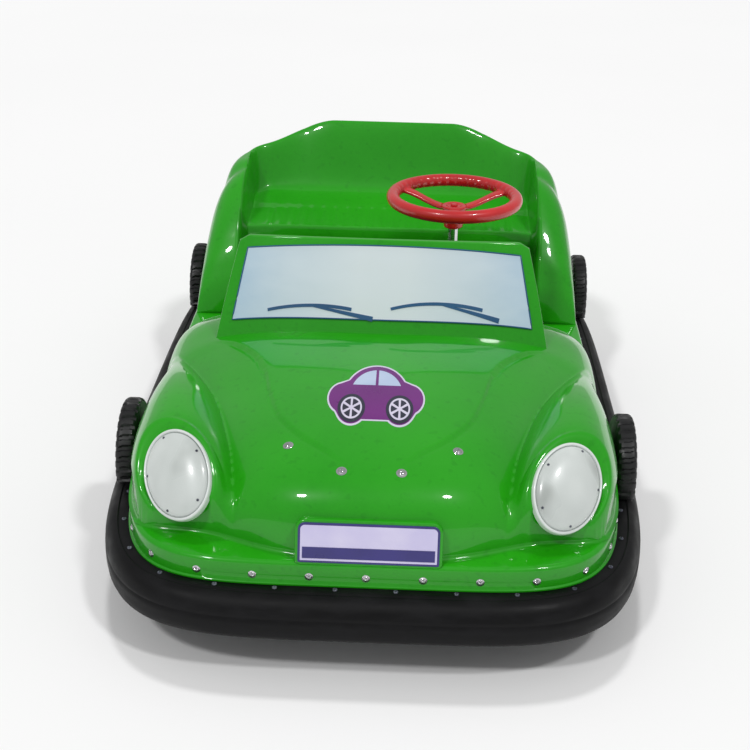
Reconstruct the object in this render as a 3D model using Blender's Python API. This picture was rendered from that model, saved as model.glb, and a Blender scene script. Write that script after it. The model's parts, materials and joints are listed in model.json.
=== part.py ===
"""Bumper car, built as its moulded body, rubber ring, steel underframe and running gear.

Metres, +Z up, standing on z = 0. The front faces -Y and +X is the driver's side.
"""

import math

import bmesh
import bpy
import numpy as np
from mathutils import Euler, Matrix, Vector

# ---- driving dimensions: plan outlines (superellipses about the origin) ----
SKIRT_HALF = (0.512, 0.873)
SKIRT_POWER = 5.6
RUBBER_WIDTH = (0.061, 0.064)
RUBBER_POWER = 4.6
FRONT_LEDGE = 0.020
SIDE_LEDGE = 0.006
FRONT_POWER = 7.0
LEDGE_WIDTH = 0.100
OUTLINE_STEPS = 48
COWL_GRID = (37, 21)

# ---- heights ----
RUBBER_LOW = 0.090
RUBBER_TOP = 0.180
LEDGE_TOP = 0.230
PLATE_LOW = 0.115
PLATE_THICK = 0.006
SKIRT_WALL = 0.006
SKIRT_LOW = 0.150
BAND_THICK = 0.006
GAP = 0.0003

# ---- front cowl ----
COWL_RISE = 0.200
COWL_REAR = -0.030
COWL_HORN = 0.190
COWL_WALL = 0.008
FENDER_RISE = 0.190
NOSE_EDGE = 14
SIDE_EDGE = 30
FOOT_PULL = 0.09
CORNER_LEDGE = (0.006, 0.014)

# ---- windscreen ----
SCREEN_FOOT = 0.380
SCREEN_HEAD = 0.330
SCREEN_TOP = 0.615
SCREEN_CROWN = 0.03
SCREEN_BOW = 0.040
SCREEN_ROUND = 0.014
SCREEN_FRONT = -0.190
SCREEN_LEAN = 0.100
SCREEN_BACK = -0.040
SCREEN_THICK = 0.012
SCREEN_SINK = 0.015
PANEL_MARGIN = 0.026
PANEL_HEIGHTS = (0.22, 0.95)
PANEL_CROWN = 0.06
PANEL_THICK = 0.003

# ---- lamps and number plate ----
LAMP_CENTRE = (0.376, -0.735, 0.332)
LAMP_HALF = (0.071, 0.094)
LAMP_TURN = math.radians(26)
LAMP_TILT = math.radians(36)
LAMP_ROLL = math.radians(38)
LAMP_SEAT = 0.45
LAMP_RIM = 0.009
LAMP_DOME = 0.036
LAMP_DEPTH = 0.044
PLATE_SIZE = (0.266, 0.078)
PLATE_DEPTH = 0.030
PLATE_TILT = math.radians(13)
PLATE_FOOT = (-0.874, 0.232)

# ---- seat tub ----
SEAT_TOP = 0.432
SEAT_SLOPE = 0.09
SEAT_FRONT = 0.485
SEAT_BACK = 0.748
BACK_LEAN = 0.078
WING_LEAN = 0.016
CAVITY_ROUND = 0.055
SEAT_HALF = 0.385
BACK_TOP = 0.640
SHOULDER_TOP = 0.572
PLATEAU_HALF = 0.165
WING_FOOT = 0.345
WING_TOP = 0.585
WING_EDGE = 12
BACK_EDGE = 180
TUB_WALL = 0.010

# ---- side wheels moulded as trim, standing on the rubber ring ----
TRIM_WHEEL_RADIUS = 0.112
TRIM_WHEEL_WIDTH = 0.040
TRIM_WHEEL_HEIGHT = 0.210
FRONT_TRIM_Y = -0.400
REAR_TRIM_Y = 0.622

# ---- running gear ----
WHEEL_RADIUS = 0.090
WHEEL_WIDTH = 0.045
HUB_RADIUS = 0.055
REAR_WHEEL = (0.340, 0.622)
AXLE_RADIUS = 0.010
PIN_GAP = 0.0004
RUN_GAP = 0.006
DRIVE_Y = -0.450
DRIVE_RADIUS = 0.090
DRIVE_WIDTH = 0.048
FORK_PLATE = 0.008
FORK_TOP = 0.192
MOTOR_RADIUS = 0.042
MOTOR_LENGTH = 0.090
SWIVEL_RADIUS = 0.015
BRIDGE_TOP = 0.222
BRIDGE_HALF = 0.215
BRIDGE_WIDTH = 0.080
BRIDGE_THICK = 0.010
DRIVE_HOLE = 0.180

# ---- steering ----
COLUMN = (0.165, 0.250)
COLUMN_RADIUS = 0.0125
WHEEL_HEIGHT = 0.600
RIM_RADIUS = 0.154
RIM_TUBE = 0.016
HUB_LOW = 0.524
HUB_TOP = 0.582
SPROCKET_RADIUS = 0.045
SPROCKET_THICK = 0.006
SPROCKET_LOW = 0.196
CHAIN_WIDTH = 0.007
POST_TOP = 0.430

# ---- floor, pedal and battery ----
FLOOR_THICK = 0.006
FLOOR_HALF = 0.400
FLOOR_FRONT = -0.215
PEDAL = (0.070, -0.115)
PEDAL_WIDTH = 0.064
BATTERY = (0.520, 0.200, 0.220)

RUBBER_HALF = (SKIRT_HALF[0] + RUBBER_WIDTH[0], SKIRT_HALF[1] + RUBBER_WIDTH[1])
BODY_HALF = (SKIRT_HALF[0] - SIDE_LEDGE, SKIRT_HALF[1] - FRONT_LEDGE)


def clear_scene():
    for old in list(bpy.data.objects):
        bpy.data.objects.remove(old, do_unlink=True)


def material(name, colour, roughness, metallic=0.0):
    paint = bpy.data.materials.new(name)
    paint.use_nodes = True
    shader = paint.node_tree.nodes["Principled BSDF"]
    shader.inputs["Base Color"].default_value = (*colour, 1.0)
    shader.inputs["Roughness"].default_value = roughness
    shader.inputs["Metallic"].default_value = metallic
    return paint


MATERIALS = {}


def finish(name, mesh, look, smooth=35, origin=(0, 0, 0)):
    """Puts a mesh into the scene as a named piece; a moving piece gives a point of its axis as its origin."""
    mesh.transform(Matrix.Translation(-Vector(origin)))
    piece = bpy.data.objects.new(name, mesh)
    piece.location = origin
    bpy.context.scene.collection.objects.link(piece)
    mesh.materials.append(MATERIALS[look])
    mesh.shade_smooth()
    mesh.set_sharp_from_angle(angle=math.radians(smooth))
    return piece


def mesh_of(points, faces, name="shape"):
    """A closed mesh from points and faces, with its faces turned outwards."""
    shape = bmesh.new()
    corners = [shape.verts.new(p) for p in points]
    for face in faces:
        shape.faces.new([corners[i] for i in face])
    bmesh.ops.recalc_face_normals(shape, faces=shape.faces)
    mesh = bpy.data.meshes.new(name)
    shape.to_mesh(mesh)
    shape.free()
    return mesh


def helper(mesh):
    """An object that only shapes others."""
    cutter = bpy.data.objects.new("cutter", mesh)
    bpy.context.scene.collection.objects.link(cutter)
    cutter.hide_render = True
    cutter.display_type = "WIRE"
    return cutter


def cut(piece, mesh, operation="DIFFERENCE", solver="EXACT"):
    boolean = piece.modifiers.new("cut", "BOOLEAN")
    boolean.solver = solver
    boolean.operation = operation
    boolean.object = helper(mesh)
    return boolean


def box_mesh(low, high):
    shape = bmesh.new()
    bmesh.ops.create_cube(shape, size=1.0)
    size = Vector(high) - Vector(low)
    centre = (Vector(high) + Vector(low)) / 2
    place = Matrix.Translation(centre) @ Matrix.Diagonal((*size, 1.0))
    bmesh.ops.transform(shape, matrix=place, verts=shape.verts)
    mesh = bpy.data.meshes.new("box")
    shape.to_mesh(mesh)
    shape.free()
    return mesh


def turned(profile, steps=40, matrix=None):
    """A closed solid turned about +Z from (radius, height) points; a radius of 0 closes it on the axis."""
    points = []
    rings = []
    for radius, height in profile:
        if radius == 0:
            rings.append([len(points)])
            points.append(Vector((0, 0, height)))
            continue
        rings.append(list(range(len(points), len(points) + steps)))
        for k in range(steps):
            angle = 2 * math.pi * k / steps
            points.append(Vector((radius * math.cos(angle), radius * math.sin(angle), height)))
    faces = []
    closed = profile[0][0] != 0
    pairs = list(zip(rings, rings[1:]))
    if closed:
        pairs.append((rings[-1], rings[0]))
    for a, b in pairs:
        for k in range(steps):
            n = (k + 1) % steps
            corners = [a[k % len(a)], a[n % len(a)], b[n % len(b)], b[k % len(b)]]
            face = list(dict.fromkeys(corners))
            if len(face) > 2:
                faces.append(face)
    if matrix is not None:
        points = [matrix @ p for p in points]
    return mesh_of(points, faces, "turned")


def tube_profile(inner, outer, low, high):
    return [(inner, low), (outer, low), (outer, high), (inner, high)]


def outline(half, power, direction):
    """The point of a superellipse that lies in this direction of the unit circle."""
    c, s = direction
    reach = (abs(c) ** power + abs(s) ** power) ** (1 / power)
    return half[0] * c / reach, half[1] * s / reach


def round_directions(steps=OUTLINE_STEPS):
    """Directions round the car, closer together at its corners."""
    turns = [2 * math.pi * (k + 0.5) / steps for k in range(steps)]
    return [(math.cos(t + 0.16 * math.sin(4 * t)), math.sin(t + 0.16 * math.sin(4 * t))) for t in turns]


def inset(half, by):
    return half[0] - by, half[1] - by


def ring_mesh(section):
    """Sweeps a closed section round the car. A section point is (half sizes, power, height)."""
    ways = round_directions()
    points = []
    for half, power, height in section:
        points += [(*outline(half, power, way), height) for way in ways]
    count = len(ways)
    faces = []
    for i in range(len(section)):
        j = (i + 1) % len(section)
        for k in range(count):
            n = (k + 1) % count
            faces.append((i * count + k, i * count + n, j * count + n, j * count + k))
    return mesh_of(points, faces, "ring")


def plan_radius(x, y, half, power=SKIRT_POWER):
    """0 at the middle of the car and 1 on the outline."""
    return (np.abs(x / half[0]) ** power + np.abs(y / half[1]) ** power) ** (1 / power)


def body_width(y):
    """Half width of the body's foot at a distance y from the middle."""
    share = np.clip(np.abs(y) / BODY_HALF[1], 0, 1)
    return BODY_HALF[0] * (1 - share**FRONT_POWER) ** (1 / FRONT_POWER)


def curve(value, table):
    """A smooth curve through the table's (place, height) points."""
    xs = np.array([p for p, _ in table])
    ys = np.array([h for _, h in table])
    slopes = np.gradient(ys, xs)
    value = np.clip(value, xs[0], xs[-1])
    i = np.clip(np.searchsorted(xs, value) - 1, 0, len(xs) - 2)
    span = xs[i + 1] - xs[i]
    t = (value - xs[i]) / span
    return (
        (2 * t**3 - 3 * t**2 + 1) * ys[i]
        + (t**3 - 2 * t**2 + t) * span * slopes[i]
        + (3 * t**2 - 2 * t**3) * ys[i + 1]
        + (t**3 - t**2) * span * slopes[i + 1]
    )


def smooth_step(value):
    t = np.clip(value, 0, 1)
    return t * t * (3 - 2 * t)


def smooth_max(a, b, soft):
    return (a + b + np.sqrt((a - b) ** 2 + soft**2)) / 2


# Along the bonnet: (share of the way from the nose to the car's middle, share of COWL_RISE).
BONNET = [(-1.0, 0.80), (-0.88, 0.83), (-0.75, 0.90), (-0.58, 0.965), (-0.42, 1.0), (-0.28, 0.985),
          (-0.2, 0.95), (-0.04, 0.88), (0.09, 0.62), (0.18, 0.32), (0.23, 0.10)]
# Half width of the bonnet's hump and of the fender, and the fender's line, as shares of the body's size.
BONNET_WIDTH = [(-1.0, 0.52), (-0.88, 0.585), (-0.73, 0.685), (-0.5, 0.80), (-0.35, 0.90), (-0.2, 1.01),
                (0.23, 1.03)]
FENDER_LINE = [(-1.0, 0.75), (-0.73, 0.785), (-0.5, 0.83), (-0.3, 0.89), (-0.1, 0.965)]
FENDER_WIDTH = [(-1.0, 0.29), (-0.73, 0.255), (-0.5, 0.185), (-0.35, 0.120), (-0.2, 0.06), (-0.1, 0.02)]
FENDER_HEIGHT = [(-1.0, 0.62), (-0.9, 0.84), (-0.8, 0.98), (-0.68, 1.0), (-0.5, 0.92), (-0.3, 0.68),
                 (-0.1, 0.36), (0.0, 0.0)]


def lamp_matrix(side):
    """Places a lamp, whose own axis is +Z, on its fender."""
    x, y, z = LAMP_CENTRE
    turn = Euler((math.pi / 2 - LAMP_TILT, 0, side * LAMP_TURN), "XYZ").to_matrix().to_4x4()
    return Matrix.Translation((side * x, y, z)) @ turn @ Matrix.Rotation(-side * LAMP_ROLL, 4, "Z")


def lamp_seat(x, y):
    """Height of the lamp's plane over the ledge, and how much the fender follows it."""
    frame = np.array(lamp_matrix(1))
    right, up, normal = frame[:3, 0], frame[:3, 1], frame[:3, 2]
    across = np.abs(x) - LAMP_CENTRE[0]
    along = y - LAMP_CENTRE[1]
    rise = -(normal[0] * across + normal[1] * along) / normal[2]
    a = (right[0] * across + right[1] * along + right[2] * rise) / LAMP_HALF[0]
    b = (up[0] * across + up[1] * along + up[2] * rise) / LAMP_HALF[1]
    follow = 1 - smooth_step((np.sqrt(a**2 + b**2) - 1.0) / LAMP_SEAT)
    return LAMP_CENTRE[2] + rise - LEDGE_TOP, follow


def foot_pull(x, y):
    """The fenders' feet stand further in than the nose's."""
    share = np.abs(x) / BODY_HALF[0]
    return 1 + FOOT_PULL * np.exp(-(((share - 0.68) / 0.275) ** 2)) * (y < 0)


def cowl_height(x, y):
    """Height of the cowl's outer face over the ledge."""
    along = y / BODY_HALF[1]
    across = np.abs(x) / BODY_HALF[0]
    hump = np.clip(across / curve(along, BONNET_WIDTH), 0, 1)
    nose = COWL_RISE * curve(along, BONNET) * (1 - hump**3.0) ** (1 / 2.6)
    offset = np.clip(np.abs(across - curve(along, FENDER_LINE)) / curve(along, FENDER_WIDTH), 0, 1)
    fender = FENDER_RISE * curve(along, FENDER_HEIGHT) * (1 - offset**2.2) ** (1 / 2.2)
    edge = plan_radius(x, np.minimum(y, 0) * foot_pull(x, y), BODY_HALF, FRONT_POWER)
    edge = np.clip(edge, 0, 1)
    sharpness = NOSE_EDGE + (SIDE_EDGE - NOSE_EDGE) * np.clip(across, 0, 1) ** 2
    height = smooth_max(nose, fender, 0.004) * (1 - edge**sharpness) ** (1 / 2.5)
    seat, follow = lamp_seat(x, y)
    return height * (1 - follow) + np.maximum(seat, 0) * follow


def cowl_rear(x):
    """Where the cowl ends: forward in the middle, and back along the sills at its two horns."""
    share = np.clip(np.abs(x) / BODY_HALF[0], 0, 1)
    return COWL_REAR + (COWL_HORN - COWL_REAR) * share**7


def eased(count, power=0.65):
    """Shares from -1 to 1, closer together at both ends."""
    line = np.linspace(-1, 1, count)
    return power * np.sin(line * math.pi / 2) + (1 - power) * line


def cowl_grid(columns, rows):
    """Points of the cowl's outer face, in rows from the nose's foot to the rear edge."""
    u, v = np.meshgrid(eased(columns), eased(2 * rows - 1)[:rows], indexing="xy")
    size = (np.abs(u) ** FRONT_POWER + np.abs(v) ** FRONT_POWER + 1e-30) ** (1 / FRONT_POWER)
    reach = np.maximum(np.abs(u), np.abs(v)) / size
    x = BODY_HALF[0] * u * reach
    y = BODY_HALF[1] * v * reach
    y = y / foot_pull(x, y)
    y = y + (1 + v) * cowl_rear(x)
    edge = np.where(y[:, -1:] < 0, body_width(y[:, -1:]), BODY_HALF[0])
    x = x * (1 + (edge / np.maximum(x[:, -1:], 1e-9) - 1) * np.abs(u) ** 4 * (v > -1))
    skirt = (SKIRT_HALF[0] - CORNER_LEDGE[0], SKIRT_HALF[1] - CORNER_LEDGE[1])
    over = np.maximum(plan_radius(x, np.minimum(y, 0), skirt), 1)
    x, y = x / over, y / over
    z = LEDGE_TOP + GAP + cowl_height(x, y)
    foot = LEDGE_TOP + GAP
    z[:, 0] = foot
    z[:, -1] = foot
    z[0, :] = foot
    return np.stack([x, y, z], axis=-1)


def grid_faces(rows, columns, first=0, flip=False):
    faces = []
    for i in range(rows - 1):
        for j in range(columns - 1):
            a = first + i * columns + j
            face = (a, a + 1, a + columns + 1, a + columns)
            faces.append(face[::-1] if flip else face)
    return faces


def rim_of(rows, columns):
    """The indices round a grid's edge, in order."""
    bottom = list(range(columns))
    right = [i * columns + columns - 1 for i in range(1, rows)]
    top = [(rows - 1) * columns + j for j in range(columns - 2, -1, -1)]
    left = [i * columns for i in range(rows - 2, 0, -1)]
    return bottom + right + top + left


def shell_of(outer, inner):
    """A closed shell between two grids of the same shape."""
    rows, columns = outer.shape[:2]
    points = [tuple(p) for p in outer.reshape(-1, 3)] + [tuple(p) for p in inner.reshape(-1, 3)]
    count = rows * columns
    faces = grid_faces(rows, columns) + grid_faces(rows, columns, count, flip=True)
    rim = rim_of(rows, columns)
    for a, b in zip(rim, rim[1:] + rim[:1]):
        faces.append((b, a, a + count, b + count))
    return mesh_of(points, faces, "shell")


def cowl_block(grow):
    """The cowl's outer face, grown a little and filled down past the ledge, to cut what stands on it."""
    outer = cowl_grid(*COWL_GRID)
    outer[..., :2] *= 1 + grow
    outer[..., 2] += grow
    floor = outer * np.array([1, 1, 0]) + np.array([0, 0, LEDGE_TOP - 0.03])
    return shell_of(outer, floor)


def make_front_cowl():
    outer = cowl_grid(*COWL_GRID)
    foot = np.array([0, 0, LEDGE_TOP + GAP])
    shrink = 1 - COWL_WALL / np.array([BODY_HALF[0], BODY_HALF[1], COWL_RISE])
    inner = foot + (outer - foot) * shrink
    piece = finish("front_cowl", shell_of(outer, inner), "green_gelcoat", 50)
    for side in (-1, 1):
        hole = lamp_ellipse(side, [(1.0, -LAMP_DEPTH - 0.002), (1.0, LAMP_DEPTH)], 0.0005)
        cut(piece, hole, solver="MANIFOLD")
    return piece


def lamp_ellipse(side, profile, grow=0.0, hole=0.0):
    """A turned solid made oval: profile gives (share of the oval's half sizes, height)."""
    wide, tall = LAMP_HALF[0] + grow, LAMP_HALF[1] + grow
    matrix = lamp_matrix(side) @ Matrix.Diagonal((wide, tall, 1.0, 1.0))
    full = [(1e-9 if r == 0 else r, h) for r, h in profile]
    if hole:
        return turned([(r, h) for r, h in full], 24, matrix)
    return turned([(0, full[0][1])] + full + [(0, full[-1][1])], 24, matrix)


def make_headlight(side, name):
    inner = 1 - LAMP_RIM / LAMP_HALF[0]
    lens = inner - PIN_GAP / LAMP_HALF[0]
    rim = [(inner, -LAMP_DEPTH), (1.0, -LAMP_DEPTH), (1.0, 0.004)]
    rim += [(0.99, 0.007), (0.96, 0.008), (inner, 0.008)]
    finish("headlight_rim_" + name, lamp_ellipse(side, rim, hole=1), "lamp_rim")
    dome = [(lens, -LAMP_DEPTH / 2), (lens, 0.004)]
    for k in range(1, 6):
        angle = k * math.pi / 12
        dome.append((lens * math.cos(angle), 0.004 + LAMP_DOME * math.sin(angle)))
    mesh = lamp_ellipse(side, dome)
    finish("headlight_lens_" + name, mesh, "lamp_lens", 60)


def screen_point(share, height, rear):
    """A point of the windscreen hump: share from -1 to 1 across, height from 0 to 1 up."""
    half = SCREEN_FOOT + (SCREEN_HEAD - SCREEN_FOOT) * height
    x = half * share
    round_off = SCREEN_ROUND * max(0.0, abs(share) - 0.93) / 0.07 * height
    top = LEDGE_TOP + (SCREEN_TOP - LEDGE_TOP) * (1 - SCREEN_CROWN * share**2) - round_off
    front = SCREEN_FRONT - SCREEN_BOW * (1 - share**2)
    low = SCREEN_BACK if rear else front
    high = front + SCREEN_LEAN + (SCREEN_THICK if rear else 0)
    y = low + (high - low) * height
    under = float(cowl_height(np.array(x), np.array(min(y, float(cowl_rear(x))))))
    foot = LEDGE_TOP + under - SCREEN_SINK
    return Vector((x, y, foot + (top - foot) * height))


def make_windscreen():
    shares = eased(25)
    heights = [0, 0.35, 0.7, 0.94, 1.0]
    front = np.array([[screen_point(s, h, False) for s in shares] for h in heights])
    rear = np.array([[screen_point(s, h, True) for s in shares] for h in heights])
    frame = finish("windscreen_frame", shell_of(front, rear), "green_gelcoat", 30)
    cut(frame, cowl_block(0.0012), solver="MANIFOLD")
    side = 1 - PANEL_MARGIN / SCREEN_HEAD
    out = np.array([0, -(GAP + 0.0008), 0])
    face = []
    for level in (0, 0.5, 1.0):
        row = []
        for share in np.linspace(-1, 1, 15):
            high = PANEL_HEIGHTS[1] - PANEL_CROWN * share**2
            height = PANEL_HEIGHTS[0] + (high - PANEL_HEIGHTS[0]) * level
            row.append(screen_point(share * side, height, False))
        face.append(row)
    face = np.array(face) + out
    panel = shell_of(face + np.array([0, -PANEL_THICK, 0]), face)
    finish("windscreen_panel", panel, "screen_print", 30)


def make_number_plate():
    width, height = PLATE_SIZE
    low = Vector((0, *PLATE_FOOT))
    mesh = box_mesh((-width / 2, 0, 0), (width / 2, PLATE_DEPTH, height))
    mesh.transform(Matrix.Translation(low) @ Matrix.Rotation(-PLATE_TILT, 4, "X"))
    plate = finish("number_plate", mesh, "plate_white")
    cut(plate, cowl_block(0.0006), solver="MANIFOLD")
    cut(plate, box_mesh((-width, -1, 0), (width, 0, LEDGE_TOP + GAP)), solver="MANIFOLD")


# The wing's height, as shares of the way from its foot to the seat's back and of its full height.
WING_LINE = [(0.0, 0.0), (0.03, 0.16), (0.10, 0.36), (0.22, 0.56), (0.38, 0.76), (0.52, 0.90), (0.63, 0.955),
             (0.75, 0.96), (0.88, 0.945), (1.0, 0.935), (1.3, 0.93)]


def wing_height(y):
    """Side wing over the ledge: a hollow front edge that sweeps up from the sill."""
    return (WING_TOP - LEDGE_TOP) * curve((y - WING_FOOT) / (SEAT_BACK - WING_FOOT), WING_LINE)


def soft_ramp(value, soft):
    """0 below 0 and 1 above 1, rounded at both ends."""
    def rise(v):
        return (v + np.sqrt(v * v + soft * soft)) / 2
    return np.clip(rise(value) - rise(value - 1), 0, 1)


def cavity_depth(x, y):
    """Distance outside the seat's hollow, a rounded rectangle open to the front, and how far it is a back."""
    across = np.abs(x) - (SEAT_HALF - CAVITY_ROUND)
    along = y - (SEAT_BACK - CAVITY_ROUND)
    out_x, out_y = np.maximum(across, 0), np.maximum(along, 0)
    reach = np.sqrt(out_x**2 + out_y**2)
    backward = np.where(reach > 1e-9, out_y / np.maximum(reach, 1e-9), (along > across) * 1.0)
    return reach + np.minimum(np.maximum(across, along), 0) - CAVITY_ROUND, backward


def tub_height(x, y):
    """Height of the seat tub's outer face over the ledge."""
    seat = SEAT_TOP - LEDGE_TOP + SEAT_SLOPE * np.clip(y - SEAT_FRONT, 0, 1)
    shoulder = np.clip((np.abs(x) - PLATEAU_HALF) / (SEAT_HALF - PLATEAU_HALF), 0, 1)
    back_top = BACK_TOP - (BACK_TOP - SHOULDER_TOP) * smooth_step(shoulder) - LEDGE_TOP
    depth, backward = cavity_depth(x, y)
    turn = smooth_step(backward)
    top = wing_height(y) * (1 - turn) + back_top * turn
    lean = BACK_LEAN * (1 - 0.4 * smooth_step((np.abs(x) - 0.24) / 0.13))
    width = WING_LEAN + (lean - WING_LEAN) * turn**2
    rise = soft_ramp(depth / width + 0.02, 0.10 + 0.14 * turn) * (1.045 + 0.03 * turn)
    rise = np.minimum(rise, 1.0)
    front = np.clip((y - SEAT_FRONT + 0.001) / 0.016, 0, 1)
    bench = seat * (1 - (1 - front) ** 3) ** (1 / 3)
    edge = np.clip(plan_radius(x, np.maximum(y, 0), BODY_HALF), 0, 1)
    inner = 0.35 + 0.65 * smooth_step((SEAT_HALF + 0.025 - np.abs(x)) / 0.05)
    sharpness = WING_EDGE + (BACK_EDGE - WING_EDGE) * inner * smooth_step((y - 0.62) / 0.16)
    return np.maximum(bench + (top - bench) * rise, 0) * (1 - edge**sharpness) ** (1 / 3)


def tub_columns(wall):
    """Places across the tub, closer together at the wings."""
    half = BODY_HALF[0] - wall
    wing = SEAT_HALF + wall
    right = [0, PLATEAU_HALF, 0.21, 0.26, 0.31, 0.345]
    right += [wing + step for step in (-0.012, -0.0061, -0.0059, 0.003, 0.010, 0.018, 0.030)]
    right += [wing + 0.03 + (half - wing - 0.03) * s for s in (0.35, 0.65, 0.85, 0.95, 0.99, 1.0)]
    return np.array([-v for v in right[:0:-1]] + right)


def tub_solid(wall):
    """The space under the tub's face, drawn in by the wall: 0 gives the outside."""
    x = tub_columns(wall)
    columns = []
    for place in np.abs(x):
        front = wall + (SEAT_FRONT if place < SEAT_HALF + wall - 0.006 else WING_FOOT)
        share = min(place / (BODY_HALF[0] - wall), 1.0)
        rear = (BODY_HALF[1] - wall) * (1 - share**SKIRT_POWER) ** (1 / SKIRT_POWER)
        rear = max(rear, front + 0.05)
        bend = min(SEAT_BACK + wall, front + 0.80 * (rear - front))
        crest = min(bend + BACK_LEAN, bend + 0.80 * (rear - bend))
        y = [front + (bend - front) * s for s in (0, 0.02, 0.05, 0.1, 0.19, 0.3, 0.44, 0.63, 0.82, 1.0)]
        y += [bend + (crest - bend) * s for s in (0.15, 0.4, 0.7, 0.9, 1.0)]
        y += [crest + (rear - crest) * s for s in (0.45, 0.8, 0.95, 1.0)]
        columns.append(y)
    y = np.array(columns).T
    x = np.broadcast_to(x, y.shape).copy()
    z = tub_height(x, y)
    if wall:
        for way in range(8):
            angle = way * math.pi / 4
            z = np.minimum(z, tub_height(x + wall * math.cos(angle), y + wall * math.sin(angle)))
        z = z - wall
    low = LEDGE_TOP + GAP - (0.02 if wall else 0)
    z = np.maximum(z, -0.005 if wall else 0.002)
    top = np.stack([x, y, LEDGE_TOP + GAP + z], axis=-1)
    bottom = np.stack([x, y, np.full(y.shape, low)], axis=-1)
    return shell_of(top, bottom)


def make_seat_tub():
    tub = finish("seat_tub", tub_solid(0.0), "green_gelcoat", 40)
    cut(tub, tub_solid(TUB_WALL), solver="MANIFOLD")


def make_rings():
    skirt = SKIRT_HALF
    under = LEDGE_TOP - SKIRT_WALL
    section = [(0, LEDGE_TOP - 0.004), (0.004, LEDGE_TOP), (LEDGE_WIDTH, LEDGE_TOP), (LEDGE_WIDTH, under),
               (SKIRT_WALL, under), (SKIRT_WALL, SKIRT_LOW), (0, SKIRT_LOW)]
    shape = ring_mesh([(inset(skirt, depth), SKIRT_POWER, z) for depth, z in section])
    finish("body_skirt", shape, "green_gelcoat", 40)
    seat = (skirt[0] + GAP, skirt[1] + GAP)
    rubber = [(seat, SKIRT_POWER, RUBBER_LOW + 0.004), (seat, SKIRT_POWER, RUBBER_TOP)]
    outer = [(0.012, 0.0), (0.004, 0.067), (0.0, 0.22), (0.0, 0.78), (0.004, 0.933), (0.012, 1.0)]
    for depth, share in outer:
        height = RUBBER_TOP - share * (RUBBER_TOP - RUBBER_LOW)
        rubber.append((inset(RUBBER_HALF, depth), RUBBER_POWER, height))
    finish("rubber_ring", ring_mesh(rubber), "black_rubber", 50)
    plate_top = PLATE_LOW + PLATE_THICK
    out = inset(skirt, SKIRT_WALL + GAP)
    band = [(out, RUBBER_LOW + 0.010), (inset(out, BAND_THICK), RUBBER_LOW + 0.010),
            (inset(out, BAND_THICK), RUBBER_TOP), (out, RUBBER_TOP)]
    finish("steel_band", ring_mesh([(half, SKIRT_POWER, z) for half, z in band]), "grey_steel")
    edge = inset(out, BAND_THICK + GAP)
    ways = round_directions()
    count = len(ways)
    points = [(*outline(edge, SKIRT_POWER, way), z) for z in (PLATE_LOW, plate_top) for way in ways]
    faces = [tuple(range(count))[::-1], tuple(range(count, 2 * count))]
    faces += [(k, (k + 1) % count, count + (k + 1) % count, count + k) for k in range(count)]
    plate = finish("chassis_plate", mesh_of(points, faces), "grey_steel")
    disc = [(0, -0.05), (DRIVE_HOLE, -0.05), (DRIVE_HOLE, 0.05), (0, 0.05)]
    cut(plate, turned(disc, 48, Matrix.Translation((0, DRIVE_Y, PLATE_LOW))))
    x, y = REAR_WHEEL
    reach = math.sqrt(WHEEL_RADIUS**2 - (PLATE_LOW - WHEEL_RADIUS) ** 2) + 0.012
    for side in (-1, 1):
        wide = WHEEL_WIDTH / 2 + 0.010
        low = (side * x - wide, y - reach, PLATE_LOW - 0.05)
        cut(plate, box_mesh(low, (side * x + wide, y + reach, PLATE_LOW + 0.05)))


def make_trim_wheel(side, y, name):
    """A wheel moulded as trim, cut off flat where it stands on the rubber ring."""
    r = TRIM_WHEEL_RADIUS
    w = TRIM_WHEEL_WIDTH
    profile = [(0, 0), (r - 0.010, 0), (r, 0.010), (r, w - 0.010), (r - 0.010, w), (r - 0.034, w),
               (r - 0.040, w - 0.010), (0.030, w - 0.010), (0.024, w - 0.003), (0, w - 0.003)]
    turn = Matrix.Rotation(side * math.pi / 2, 4, "Y")
    inside = side * (SKIRT_HALF[0] + GAP)
    place = Matrix.Translation((inside, y, TRIM_WHEEL_HEIGHT))
    piece = finish("side_wheel_" + name, turned(profile, 24, place @ turn), "black_plastic", 40)
    cut(piece, box_mesh((inside - 0.2, y - 0.3, -0.2), (inside + 0.2, y + 0.3, RUBBER_TOP + GAP)))


def make_wheel(prefix, centre, radius, width, hub_half, shaft=None):
    """A solid tyre and its hub, turned about X."""
    turn = Matrix.Translation(centre) @ Matrix.Rotation(math.pi / 2, 4, "Y")
    h = width / 2
    tyre = [(HUB_RADIUS + GAP, -h), (radius - 0.008, -h), (radius - 0.002, -h + 0.006), (radius, -h + 0.014),
            (radius, h - 0.014), (radius - 0.002, h - 0.006), (radius - 0.008, h), (HUB_RADIUS + GAP, h)]
    finish(prefix + "_tyre", turned(tyre, 24, turn), "black_rubber", origin=centre)
    web = 0.010
    if shaft:
        left, right = shaft
        ends = [(0, left), (AXLE_RADIUS, left), (AXLE_RADIUS, -hub_half)]
        far_ends = [(AXLE_RADIUS, hub_half), (AXLE_RADIUS, right), (0, right)]
    else:
        bore = AXLE_RADIUS + PIN_GAP
        ends = [(bore, -hub_half)]
        far_ends = [(bore, hub_half)]
    well = HUB_RADIUS - 0.008
    hub = ends + [(0.022, -hub_half), (0.022, -web), (well, -web), (well, -h), (HUB_RADIUS, -h)]
    hub += [(HUB_RADIUS, h), (well, h), (well, web), (0.022, web), (0.022, hub_half)] + far_ends
    finish(prefix + "_hub", turned(hub, 24, turn), "cast_metal", origin=centre)


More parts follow.
